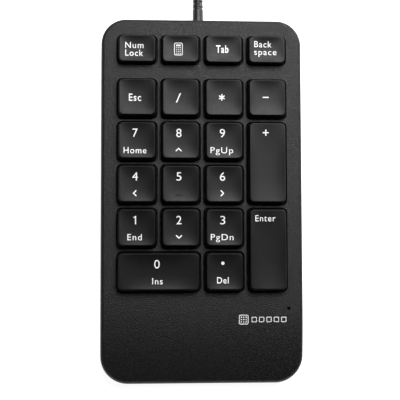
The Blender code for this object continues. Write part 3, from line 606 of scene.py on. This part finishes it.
def make_top_cover(places):
    """The fine top cover: openings with rounded lips, the lamp hole and the cable slot."""
    cover = make_piece("top_cover_shell", [cover_body()], "housing_plastic", ("top_cover",))
    bosses = []
    holes = []
    for unused, unused, place in nodes_called("screw_"):
        bosses.append(turned([(BOSS_RADIUS, SEAM_Z), (BOSS_RADIUS, deck_z(place[1]) - SKIN / 2)], place))
        holes.append(turned([(SCREW_HOLE, SEAM_Z - CUT), (SCREW_HOLE, SCREW_HOLE_TOP)], place, sides=24))
    lamp = node_box("light_pipe")[2]
    lamp_z = deck_z(lamp.y)
    holes.append(turned([(LAMP_HOLE, SEAM_Z), (LAMP_HOLE, lamp_z - 0.15), (LAMP_HOLE_MOUTH, lamp_z + 0.06),
                         (LAMP_HOLE_MOUTH, DECK_HEIGHT + 2 * CUT)], (lamp.x, lamp.y)))
    outline = [(side * SLOT_RADIUS, SEAM_Z - 2 * CUT - BOOT_Z) for side in (-1, 1)]
    outline += arc(0, 0, SLOT_RADIUS, 0, 180, SLOT_STEPS)
    rings = [[(x, z, y) for x, z in outline] for y in (HALF_DEPTH - WALL - 3 * CUT, HALF_DEPTH + CUT)]
    holes.append(loft(along_y(rings, CABLE_X, BOOT_Z)))
    openings = on_deck([opening_tool(key) for key in places.values()])
    carve(cover, [("UNION", bosses), ("DIFFERENCE", openings), ("DIFFERENCE", holes)])


def make_base():
    """The fine bottom cover with its screw recesses and foot pockets."""
    levels = [(BASE_FLAT, BASE_UNDERSIDE)]
    levels += [(short, BASE_UNDERSIDE + away) for away, short in quarter(BASE_ROUND, range(0, 91, 15))]
    levels += [(inset, BASE_RIM + rise) for inset, rise in BASE_EDGE]
    levels += [(LIP_INSET, BASE_RIM), (LIP_INSET, BASE_RIM + LIP_RISE),
               (LIP_INSET + LIP_WALL, BASE_RIM + LIP_RISE), (LIP_INSET + LIP_WALL, BASE_FLOOR)]
    shell = loft([housing_ring(inset, height) for inset, height in levels])
    base = make_piece("bottom_cover_shell", [shell], "base_plastic", ("bottom_cover",))
    screws = [place for unused, unused, place in nodes_called("screw_")]
    pads = [turned([(PAD_RADIUS, PAD_BOTTOM), (PAD_RADIUS, PAD_TOP)], place) for place in screws]
    pads += [turned([(POST_RADIUS, PAD_BOTTOM), (POST_RADIUS, POST_TOP)], place, sides=24)
             for place in BOARD_POSTS]
    holes = [turned(FOOT_POCKET, place, sides=48) for unused, unused, place in nodes_called("rubber_foot_")]
    holes += [turned(SCREW_RECESS, place) for place in screws]
    holes.append(loft([rounded_ring(LABEL_WIDTH, LABEL_DEPTH, 2, 6, z, LABEL_CENTRE)
                       for z in (0, BASE_UNDERSIDE + LABEL_RECESS)]))
    boot_notch = rectangle(CABLE_X, HALF_DEPTH - 4.3, 4.2, 2.2)
    holes.append(prism(boot_notch, 3.8, 7.2))
    carve(base, [("UNION", pads), ("DIFFERENCE", holes)])


def make_underside():
    """Rubber feet and cross-head screws."""
    for name, top, place in nodes_called("rubber_foot_"):
        profile = [*FOOT_FACE, (FOOT_FACE[-1][0], top)]
        make_piece(f"{name}_fine", [turned(profile, place, sides=64)], "foot_rubber", (name,), sharp=50)
    thread = [(THREAD_RADII[step % 2], THREAD_START + THREAD_STEP * step) for step in range(THREAD_STEPS)]
    for name, top, place in nodes_called("screw_"):
        profile = [*SCREW_HEAD, *thread, (SCREW_HEAD[0][0], top)]
        piece = make_piece(f"{name}_fine", [turned(profile, place, sides=40)], "screw_steel", (name,))
        carve(piece, [("DIFFERENCE", [prism(rectangle(*place, *half), 1, SCREW_CROSS_TOP)])
                      for half in SCREW_CROSS])


# ---- keys ----

def soft_ring(width, depth, radius, straights, height, centre=(0, 0)):
    """A rounded rectangle whose four sides meet in the middle of each corner's arc.

    straights gives the steps along the straight part of the front and rear, and of the two sides.
    """
    points = []
    for turn in range(4):
        wide = turn % 2 == 0
        half_u, half_v = (width / 2, depth / 2) if wide else (depth / 2, width / 2)
        steps = straights[0] if wide else straights[1]
        corner = arc(half_u - radius, half_v - radius, radius, 90, -45, CORNER_HALF)[1:]
        side = [(-u, v) for u, v in reversed(corner)]
        side += [((half_u - radius) * (2 * step / steps - 1), half_v) for step in range(steps + 1)]
        for u, v in side + corner[:-1]:
            x, y = ((u, -v), (v, u), (-u, v), (-v, -u))[turn]
            points.append((centre[0] + x, centre[1] + y, height))
    return points


def coons(ring, across, along):
    """Rows of points that fill a ring whose four sides have across, along, across and along steps."""
    ring = [Vector(point) for point in ring]
    front = ring[:across + 1]
    right = ring[across:across + along + 1]
    rear = ring[across + along:2 * across + along + 1][::-1]
    left = (ring[2 * across + along:] + ring[:1])[::-1]
    rows = []
    for j in range(along + 1):
        t = (left[j].y - left[0].y) / (left[-1].y - left[0].y)
        row = []
        for i in range(across + 1):
            s = (front[i].x - front[0].x) / (front[-1].x - front[0].x)
            row.append((1 - t) * front[i] + t * rear[i] + (1 - s) * left[j] + s * right[j]
                       - (1 - s) * (1 - t) * front[0] - s * (1 - t) * front[-1]
                       - (1 - s) * t * rear[0] - s * t * rear[-1])
        rows.append(row)
    return rows


def keycap_body(key):
    """A hollow keycap: sloping sides, a soft rim and a dished top."""
    straights = (round(key.width / KEY_GRID), round(key.depth / KEY_GRID))
    across, along = (2 * CORNER_HALF + steps for steps in straights)
    count = 2 * (across + along)

    def level(share, inset, height, corner):
        """A ring; share runs from 0 at the base to 1 at the top."""
        wide = key.width + (key.top_width - key.width) * share - 2 * inset
        deep = key.depth + (key.top_depth - key.depth) * share - 2 * inset
        return soft_ring(wide, deep, corner, straights, height, (0, key.shift * share))

    stem = arc(0, 0, STEM_RADIUS, -135, 360, count)[:-1]
    rings = [[(x, y, STEM_BOTTOM) for x, y in stem], [(x, y, ROOF_UNDERSIDE) for x, y in stem],
             level(1, KEY_WALL, ROOF_UNDERSIDE, INNER_CORNER), level(0, KEY_WALL, SKIRT_BOTTOM, INNER_CORNER)]
    rings += [level(0, inset, SKIRT_BOTTOM + rise, corner) for inset, rise, corner in SKIRT_LEVELS]
    side_top = KEY_RISE - RIM_ROUND
    for share in (0.35, 0.7, 1):
        rings.append(level(share, -RIM_LEAN * share, SLOPE_START + (side_top - SLOPE_START) * share,
                           KEY_CORNER - (KEY_CORNER - SIDE_TOP_CORNER) * share))
    for away, short in quarter(1, range(15, 90, 15)):
        rings.append(level(1, RIM_LEAN * (away - 1), KEY_RISE - RIM_ROUND * short,
                           EDGE_CORNER + (SIDE_TOP_CORNER - EDGE_CORNER) * short))
    points, faces = loft(rings)
    faces = faces[:-1]
    last_ring = len(points) - count
    index = {}
    for j, row in enumerate(coons(level(1, 0, KEY_RISE, EDGE_CORNER), across, along)):
        for i, point in enumerate(row):
            index[i, j] = len(points)
            points.append((point.x, point.y, key.dish(point.x, point.y - key.shift)))
    border = ([(i, 0) for i in range(across)] + [(across, j) for j in range(along)]
              + [(i, along) for i in range(across, 0, -1)] + [(0, j) for j in range(along, 0, -1)])
    for k, cell in enumerate(border):
        after = (k + 1) % count
        faces.append((last_ring + k, last_ring + after, index[border[after]], index[cell]))
    for i in range(across):
        for j in range(along):
            faces.append((index[i, j], index[i + 1, j], index[i + 1, j + 1], index[i, j + 1]))
    return points, faces


def homing_bar(key):
    """The raised bar that a finger feels on the middle key."""
    rings = []
    for height, grow in HOMING_LEVELS:
        ring = rounded_ring(HOMING_SIZE[0] + grow, HOMING_SIZE[1] + grow, HOMING_CORNER, 4, 0, HOMING_PLACE)
        rings.append([(x, y, key.dish(x, y) + height) for x, y, unused in ring])
    return loft(rings)


def make_keys(places):
    """All keycaps; the middle key has a raised bar, and long keys have two guide posts."""
    for name, key in places.items():
        bodies = [keycap_body(key)]
        if max(key.width, key.depth) > 1.5 * PITCH:
            across, along = (PITCH / 2, 0) if key.width > key.depth else (0, PITCH / 2)
            bodies += [turned([(STEM_RADIUS, end) for end in GUIDE_POST], (side * across, side * along))
                       for side in (-1, 1)]
        if name == "5":
            bodies.append(homing_bar(key))
        move = Vector((key.x, key.v, 0))
        bodies = on_deck(mapped(bodies, lambda point: point + move))
        make_piece(f"key_{name}_cap", bodies, "key_plastic", (f"key_{name}",), body=f"cap_{name}", sharp=40)


# ---- legends ----

def taken(work):
    """A work mesh's points and faces; the work mesh is freed."""
    work.verts.index_update()
    points = [tuple(vertex.co) for vertex in work.verts]
    faces = [tuple(vertex.index for vertex in face.verts) for face in work.faces]
    work.free()
    return points, faces


def text_outline(text, thick=0):
    """Points and faces of a text as a solid one unit thick, in units of its font size."""
    curve = bpy.data.curves.new("legend", "FONT")
    curve.body = text
    curve.size = 1
    curve.extrude = 0.5
    curve.offset = thick
    curve.resolution_u = 6
    curve.space_character = LETTER_SPACING
    item = add_object("legend", curve)
    mesh = final_mesh(item)
    work = bmesh.new()
    work.from_mesh(mesh)
    bmesh.ops.remove_doubles(work, verts=work.verts, dist=1e-5)
    bpy.data.objects.remove(item, do_unlink=True)
    bpy.data.meshes.remove(mesh)
    return taken(work)


CAP_RATIO = max(point[1] for point in text_outline("H")[0])


def word(text, width, centre_x, baseline=WORD_BASE, cap=WORD_CAP):
    """Text as a flat solid 1 mm thick: its width, where it stands and its capitals' height."""
    tall = cap / CAP_RATIO
    plain = [point[0] for point in text_outline(text)[0]]
    widened = width / tall / (max(plain) - min(plain))
    points, faces = text_outline(text, (INK_LINE / widened - FONT_LINE) / 2)
    low = min(point[0] for point in points)
    high = max(point[0] for point in points)
    wide = width / (high - low)
    middle = (low + high) / 2
    return [(centre_x + (x - middle) * wide, baseline + y * tall, z) for x, y, z in points], faces


def stroke(points, width):
    """A line of even width through a few points, with square ends and mitred corners."""
    left = []
    right = []
    for k, (x, y) in enumerate(points):
        before = Vector(points[k]) - Vector(points[k - 1]) if k else None
        after = Vector(points[k + 1]) - Vector(points[k]) if k + 1 < len(points) else None
        first = (before or after).normalized()
        second = (after or before).normalized()
        bisector = (first + second).normalized()
        side = Vector((-bisector.y, bisector.x)) * (width / 2 / max(MITRE_LIMIT, bisector.dot(first)))
        left.append((x + side.x, y + side.y))
        right.append((x - side.x, y - side.y))
    return prism(left + right[::-1], -0.5, 0.5)


def outline_box(width, depth, radius, line, centre):
    """A rounded rectangle drawn as a line."""
    return loft([rounded_ring(width + grow, depth + grow, radius + grow / 2, 5, height, centre)
                 for height, grow in ((-0.5, 0), (0.5, 0), (0.5, -2 * line), (-0.5, -2 * line))],
                closed=True)


def dot(x, y, radius):
    """A printed round dot."""
    return turned([(radius, -0.5), (radius, 0.5)], (x, y), sides=20)


def bar(x, y, width, depth):
    """A printed rectangle."""
    return prism(rectangle(x, y, width / 2, depth / 2), -0.5, 0.5)


def chevron(x, y, turn):
    """An open arrow head that points up when turn is 0."""
    right, up = cos(radians(turn)), sin(radians(turn))
    return stroke([(x + u * right - v * up, y + u * up + v * right) for u, v in CHEVRON], CHEVRON_LINE)


def calculator_icon(x, y):
    """A small calculator: an outline, a display and twelve buttons."""
    bodies = [outline_box(3.75, 5.6, 0.75, 0.28, (x, y)), bar(x, y + 1.65, 2, 0.7)]
    bodies += [bar(x + BUTTON_PITCH[0] * column, y + 0.62 + BUTTON_PITCH[1] * row, *BUTTON_SIZE)
               for column in (-1, 0, 1) for row in range(4)]
    return bodies


def asterisk(x, y, radius):
    """Six short arms."""
    return [stroke(arc(x, y, radius, angle, 180, 1)[::-1], SYMBOL_LINE) for angle in (30, 90, 150)]


def digit(character, width=2.3):
    """A digit in the upper half of its key."""
    return word(character, width, LEGEND_SHIFT, DIGIT_BASE, DIGIT_CAP)


def legends():
    """What is printed on each key, in millimetres from the middle of the key's top."""
    plus_y = PLUS_Y + PITCH / 2
    return {
        "num_lock": [word("Num", 8, -1.2, 0.1), word("Lock", 7.8, -1.3, -3.35)],
        "calculator": calculator_icon(-0.95, -0.15),
        "tab": [word("Tab", 5.5, -0.7, -1.55, 3.2)],
        "backspace": [word("Back", 7.7, -1.75, 1.05), word("space", 9.9, -0.7, -2.4)],
        "escape": [word("Esc", 5.3, -0.9, -1.75, 3.1)],
        "divide": [stroke([(-1.85, -2.35), (-0.1, 1.75)], SYMBOL_LINE)],
        "multiply": asterisk(-0.95, 0.05, 1.4),
        "minus": [bar(-0.65, 0.2, *SYMBOL_BAR)],
        "7": [digit("7"), word("Home", 9.9, -0.85, -5.75)],
        "8": [digit("8"), chevron(-0.9, -4.15, 0)],
        "9": [digit("9"), word("PgUp", 9.9, -1.1, -5.6)],
        "plus": [bar(-0.75, plus_y, *size) for size in (SYMBOL_BAR, SYMBOL_BAR[::-1])],
        "4": [digit("4", 2.5), chevron(-0.85, -4.1, 90)],
        "5": [digit("5", 2.2)],
        "6": [digit("6"), chevron(-1, -4.05, -90)],
        "1": [bar(-0.55, DIGIT_BASE + DIGIT_CAP / 2, 0.52, DIGIT_CAP),
              stroke([(-1.5, 4.2), (-0.57, 4.83)], 0.46), word("End", 6.2, -0.95)],
        "2": [digit("2"), chevron(-0.8, -3.95, 180)],
        "3": [digit("3", 2.2), word("PgDn", 9.9, -1.1)],
        "enter": [word("Enter", 8.9, -1.2, 2.75 + PITCH / 2)],
        "0": [digit("0", 2.4), word("Ins", 4.5, -0.6, -5.4)],
        "decimal": [dot(LEGEND_SHIFT, 3.6, 0.72), word("Del", 5, -0.85, -5.1)],
    }


def split_fine(bodies, longest):
    """The bodies as one, in triangles whose edges are no longer than a length."""
    work = filled(bodies)
    bmesh.ops.triangulate(work, faces=work.faces)
    for unused in range(6):
        long_edges = [edge for edge in work.edges if edge.calc_length() > longest]
        if not long_edges:
            break
        bmesh.ops.subdivide_edges(work, edges=long_edges, cuts=1)
        bmesh.ops.triangulate(work, faces=work.faces)
    points, faces = taken(work)
    return [(points, list({frozenset(face): face for face in faces}.values()))]


def inked(height, z):
    """Height of a print's point on a surface; its z runs from -0.5 to 0.5."""
    return height + INK_LIFT + INK_HEIGHT * (z + 0.5)


def make_legends(places):
    """Printed legends, laid onto each key's dished top."""
    for name, bodies in legends().items():
        key = places[name]

        def lay(point):
            return Vector((key.x + point.x, key.v + key.shift + point.y,
                           inked(key.dish(point.x, point.y), point.z)))

        make_piece(f"legend_{name}", on_deck(mapped(split_fine(bodies, LEGEND_GRID), lay)), "key_plastic",
                   finish="legend_ink", body=f"cap_{name}")


def make_mark():
    """A plain pictogram on the palm rest: one small keypad and a row of squares."""
    bodies = [outline_box(4.2, 4.2, 0.7, 0.34, (MARK_GRID_X, MARK_V))]
    bodies += [dot(MARK_GRID_X + 1.05 * column, MARK_V + 1.05 * row, 0.3)
               for column in (-1, 0, 1) for row in (-1, 0, 1)]
    bodies += [outline_box(2.3, 2.3, 0.35, 0.3, (MARK_SQUARES_X + 3.25 * k, MARK_V)) for k in range(5)]

    def lay(point):
        flat = DECK @ Vector((point.x, point.y, 0))
        return Vector((flat.x, flat.y, inked(deck_z(flat.y), point.z)))

    make_piece("palm_mark", mapped(split_fine(bodies, LEGEND_GRID), lay), "key_plastic",
               finish="mark_ink")


# ---- cable ----

def smooth_route(knots, per_span):
    """Points on a Catmull-Rom curve through the knots."""
    fine = []
    padded = [2 * knots[0] - knots[1], *knots, 2 * knots[-1] - knots[-2]]
    for a, b, c, d in zip(padded, padded[1:], padded[2:], padded[3:]):
        for step in range(per_span):
            t = step / per_span
            fine.append(0.5 * (2 * b + (c - a) * t + (2 * a - 5 * b + 4 * c - d) * t * t
                               + (3 * b - a - 3 * c + d) * t ** 3))
    fine.append(knots[-1])
    return fine


def ease(value):
    """A smooth step from 0 to 1."""
    value = min(1, max(0, value))
    return value * value * (3 - 2 * value)


def eased(degrees, span):
    """A smooth step that starts at an angle and takes an angle, both in span."""
    return ease((degrees - span[0]) / span[1])


def wound_path():
    """The cable's turns: in along the floor, up in three layers, and out at the top."""
    reach = [WIND_RADIUS + WIND_PITCH * (k - 1.5) for k in range(4)]
    layers = [WIND_FLOOR + WIND_PITCH * k for k in range(3)]
    turns = [(radius, layers[0]) for radius in reversed(reach)]
    turns += [(radius, layers[1]) for radius in reach]
    turns += [(radius, layers[2]) for radius in reach[1:]]
    start_radius = CABLE_ROUTE[-1][0] - COIL_CENTRE[0]
    end = Vector(TAIL_ROUTE[0]) - Vector((*COIL_CENTRE, 0))
    end_angle = math.degrees(math.atan2(end.y, end.x))
    end_radius = math.hypot(end.x, end.y)
    points = []
    for turn, (radius, height) in enumerate(turns):
        last = turn == len(turns) - 1
        following = (radius, height) if last else turns[turn + 1]
        climbs = following[1] > height
        for degrees in range(0, 360, WIND_STEP):
            if last and degrees >= end_angle:
                break
            out = radius + (following[0] - radius) * eased(degrees, CLIMB_OUT if climbs else MOVE_OUT)
            up = height + (following[1] - height) * eased(degrees, CLIMB)
            if turn == 0:
                lead = 1 - ease(degrees / LEAD_IN)
                out += (start_radius - radius) * lead
                up += (CABLE_ROUTE[-1][2] - height) * lead
            if last:
                leave = (degrees - LEAVE_FROM) / (end_angle - LEAVE_FROM)
                out += (end_radius - radius) * ease(leave * LEAVE_HASTE)
                up += (TAIL_ROUTE[0][2] - height) * ease(leave)
            angle = radians(degrees)
            points.append(Vector((COIL_CENTRE[0] + out * cos(angle),
                                  COIL_CENTRE[1] + out * sin(angle), up)))
    return points[1:]


def make_cable():
    """The whole cable as one curve: the route, the turns and the tail."""
    knots = [Vector(point) for point in CABLE_ROUTE] + wound_path() + [Vector(point) for point in TAIL_ROUTE]
    path = smooth_route(knots, 3)
    curve = bpy.data.curves.new("cable", "CURVE")
    curve.dimensions = "3D"
    curve.bevel_depth = CABLE_RADIUS * MM
    curve.bevel_resolution = 6
    curve.use_fill_caps = True
    spline = curve.splines.new("POLY")
    spline.points.add(len(path) - 1)
    for point, place in zip(spline.points, path):
        point.co = (*(place * MM), 1)
    spline.use_smooth = True
    cable = add_object("cable", curve)
    dress(cable, "cable_jacket", "housing", ("cable_lead", "cable_coil", "cable_tail"))


def make_boot():
    """The strain relief: flange, neck and a smooth sleeve with three rings, down to the cable."""
    low, high = node_box("cable_boot")[:2]
    wall = HALF_DEPTH - WALL - 0.3
    profile = [(1.4, low.y), (3.6, low.y), (3.9, low.y + 0.3), (3.9, wall - 0.2), (3.7, wall), (2.45, wall),
               (2.45, HALF_DEPTH + 0.4), (2.43, HALF_DEPTH + 4), (2.38, HALF_DEPTH + 9)]
    for ring in range(3):
        start = HALF_DEPTH + 9.6 + 2.5 * ring
        radius = 2.36 - 0.05 * ring
        profile += [(radius - groove, start + along)
                    for groove, along in ((0, 0), (0.22, 0.25), (0.22, 0.75), (0, 1))]
    profile += [(2.22, high.y - 0.2), (2.18, high.y + 0.3), (2.08, high.y + 0.6), (1.6, high.y + 0.6)]
    rings = [circle(radius, 48, along) for radius, along in profile]
    return make_piece("cable_boot_fine", [loft(along_y(rings, CABLE_X, BOOT_Z))], "cable_jacket",
                      ("cable_boot",), sharp=40)


def make_tie():
    """A wire tie round the bundle: a flat band with a wire down its middle and twisted ends."""
    middle = node_box("cable_tie")[2]
    coil_low, coil_high = node_box("cable_coil")[:2]
    heading = math.atan2(middle.y - COIL_CENTRE[1], middle.x - COIL_CENTRE[0])
    reach = math.hypot(middle.x - COIL_CENTRE[0], middle.y - COIL_CENTRE[1])
    bundle = 4 * WIND_PITCH + 0.6
    tall = coil_high.z - coil_low.z + 0.4
    rings = []
    for across, out in TIE_BAND:
        ring = rounded_ring(bundle + 2 * out, tall + 2 * out, TIE_CORNER + out, 10, 0)
        rings.append([(reach + along, across, middle.z + up) for along, up, unused in ring])
    bodies = [loft(rings, closed=True)]
    for side in (-1, 1):
        rings = []
        for step in range(TWIST_STEPS + 1):
            share = step / TWIST_STEPS
            twist = radians(TWIST_TURN * share) + (math.pi if side > 0 else 0)
            centre = Vector((reach + bundle / 2 + 0.5 + 2.2 * sin(share * 1.5),
                             side * TWIST_SPLAY * max(0, share - TWIST_PART),
                             middle.z + TWIST_RISE * share))
            centre += Vector((cos(twist), sin(twist), 0)) * TWIST_RADIUS
            around = Matrix.Rotation(twist, 3, "Z")
            rings.append([tuple(centre + around @ Vector((STRIP_HALF[0] * x, STRIP_HALF[1] * y, 0)))
                          for x, y, unused in circle(1, 8, 0)])
        bodies.append(loft(rings))
    turn = Matrix.Translation((*COIL_CENTRE, 0)) @ Matrix.Rotation(heading, 4, "Z")
    return make_piece("cable_tie_fine", mapped(bodies, lambda point: turn @ point), "cable_jacket",
                      ("cable_tie",), sharp=50)


def make_plug():
    """The USB plug: moulded grip, folded shell with its windows, tongue and four contacts."""
    low, high, middle = node_box("usb_plug_overmould")
    sections = [(*size, high.y - share * (high.y - low.y)) for share, *size in GRIP_SECTIONS]
    grip = make_piece("usb_plug_grip", [stood(sections, 8, middle)], "cable_jacket", ("usb_plug_overmould",),
                      finish="plug_mould", sharp=40)
    (inner, inner_half), (outer, outer_half) = GROOVE_REACH
    grooves = []
    for side in (-1, 1):
        for k in range(GROOVES):
            y = low.y + GROOVE_START + GROOVE_PITCH * k
            ring = [(middle.x + side * inner, y - inner_half), (middle.x + side * outer, y - outer_half),
                    (middle.x + side * outer, y + outer_half), (middle.x + side * inner, y + inner_half)]
            grooves.append(prism(ring, middle.z - GROOVE_HALF, middle.z + GROOVE_HALF))
    carve(grip, [("DIFFERENCE", grooves)])

    low, high, middle = node_box("usb_plug_shell")
    size = high - low
    levels = ((high.y, 0), (low.y + 0.25, 0), (low.y, 0.2), (low.y, 0.55), (low.y + 0.3, SHELL_SKIN),
              (high.y, SHELL_SKIN))
    sections = [(size.x - inset, size.z - inset, SHELL_CORNER - inset / 2, y) for y, inset in levels]
    shell = make_piece("usb_plug_shell_fine", [stood(sections, 5, middle, True)], "plug_steel",
                       ("usb_plug_shell",))
    windows = []
    for side in (-1, 1):
        window = rectangle(middle.x + side * WINDOW_X, low.y + WINDOW_Y, *WINDOW_HALF)
        for bottom, top in ((middle.z, high.z + CUT), (low.z - CUT, middle.z)):
            windows.append(prism(window, bottom + 0.02, top - 0.02))
    carve(shell, [("DIFFERENCE", windows)])

    low, high, middle = node_box("usb_plug_tongue")
    sections = [(high.x - low.x - inset, high.z - low.z - inset, 0.2, y)
                for y, inset in ((low.y, 0.3), (low.y + 0.25, 0), (high.y, 0))]
    tongue = make_piece("usb_plug_tongue_fine", [stood(sections, 3, middle)], "tongue_plastic",
                        ("usb_plug_tongue",))
    strips = []
    rear = high.y - 0.5
    for x, setback in CONTACTS:
        front = low.y + 1 + setback
        strips.append(prism(rectangle(middle.x + x, (front + rear) / 2, CONTACT_HALF, (rear - front) / 2),
                            low.z - 0.06, low.z + 0.1))
    contacts = make_piece("usb_plug_contacts", strips, "plug_steel", finish="contact_gold")
    return [grip, shell, tongue, contacts]


# ---- inner pieces ----

def make_domes(places):
    """The rubber sheet, and under each key a dome."""
    points = deck_points(frame["nodes"]["rubber_dome_sheet"])
    low, high = (Vector([pick(point[axis] for point in points) for axis in range(3)]) for pick in (min, max))
    middle = ((low.x + high.x) / 2, (low.y + high.y) / 2)
    rings = [rounded_ring(high.x - low.x, high.y - low.y, DOME_SHEET_CORNER, 4, height, middle)
             for height in (low.z, DOME_SHEET_TOP)]
    sheet = make_piece("dome_sheet_fine", on_deck([loft(rings)]), "dome_silicone", ("rubber_dome_sheet",))
    ends = (low.z - CUT, DOME_SHEET_TOP + CUT)
    holes = [turned([(DOME_HOLE, end) for end in ends], (key.x, key.v), sides=24) for key in places.values()]
    holes += [turned([(STAKE_HOLE, end) for end in ends], place, sides=16) for place in STAKES]
    bosses = [turned([(BOSS_CLEARANCE, SEAM_Z), (BOSS_CLEARANCE, 2 * DECK_HEIGHT)], place, sides=24)
              for place in REAR_BOSSES]
    carve(sheet, [("DIFFERENCE", on_deck(holes) + bosses)])
    profile = [(radius, DOME_SHEET_TOP + share * (high.z - DOME_SHEET_TOP)) for radius, share in DOME_PROFILE]
    for name, key in places.items():
        dome = make_piece(f"dome_{name}", on_deck([turned(profile, (key.x, key.v))]), "dome_silicone")
        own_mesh(dome)


def finish_inner_nodes():
    """Give the CAD nodes that stay their materials."""
    for finish, names in (
            ("guide_plastic", ("key_frame",)), ("plate_steel", ("support_plate",)),
            ("membrane_film", ("membrane_top_layer", "membrane_spacer", "membrane_bottom_layer")),
            ("board_laminate", ("controller_board",)), ("chip_resin", ("controller_chip", "tail_clamp")),
            ("connector_nylon", ("lead_header", "lead_connector")), ("lamp_resin", ("num_lock_lamp",)),
            ("light_pipe_clear", ("light_pipe",)), ("cable_jacket", ("inner_lead",))):
        for name in names:
            mesh = frame["nodes"][name].data
            mesh.materials.clear()
            mesh.materials.append(FINISHES[finish])


# ---- stage ----

def make_floor():
    """A plain white floor that glows by itself."""
    plate = bpy.data.meshes.new("floor")
    corners = rectangle(0, 0, FLOOR_HALF, FLOOR_HALF)
    plate.from_pydata([(x, y, 0) for x, y in corners], [], [(0, 1, 2, 3)])
    floor = add_object("floor", plate)
    white = bpy.data.materials.new("floor_paper")
    white.use_nodes = True
    set_inputs(white.node_tree.nodes["Principled BSDF"], {
        "Base Color": (0.9, 0.9, 0.9, 1), "Roughness": 0.9, "Specular IOR Level": 0,
        "Emission Color": (1, 1, 1, 1), "Emission Strength": 0.93})
    plate.materials.append(white)


def make_light(name, place, size, power):
    """A soft rectangular area light aimed at the origin; metres and watts."""
    data = bpy.data.lights.new(name, "AREA")
    data.shape = "RECTANGLE"
    data.size, data.size_y = size
    data.energy = power
    light = add_object(name, data)
    light.location = place
    light.rotation_euler = (-Vector(place)).to_track_quat("-Z", "Y").to_euler()


def make_stage():
    """Camera from above, soft light from the rear right, a white floor and dim surroundings."""
    scene = bpy.context.scene
    data = bpy.data.cameras.new("camera")
    data.sensor_width = 36
    data.lens = 89.68
    data.clip_start = 0.01
    camera = add_object("camera", data)
    camera.location = (-0.0277, -0.0607, 0.450)
    camera.rotation_euler = [radians(angle) for angle in (7.96, -3.49, -0.39)]
    scene.camera = camera
    world = bpy.data.worlds.new("studio")
    world.use_nodes = True
    set_inputs(world.node_tree.nodes["Background"], {"Color": (1, 1, 1, 1), "Strength": 0.035})
    scene.world = world
    scene.view_settings.view_transform = "Standard"
    scene.view_settings.look = "None"
    make_floor()
    make_light("key_light", (0.10, 0.21, 0.46), (0.34, 0.26), 3.2)
    make_light("rim_light", (0.55, 0.60, 0.17), (0.50, 0.12), 4)


def build():
    """The stage, the cable with the pieces that go along with it, then the rest."""
    make_stage()
    make_finishes()
    pieces = [make_boot(), make_tie(), *make_plug()]
    make_cable()
    places = key_places()
    make_top_cover(places)
    make_base()
    make_keys(places)
    make_legends(places)
    make_mark()
    make_underside()
    make_domes(places)
    finish_inner_nodes()


build()
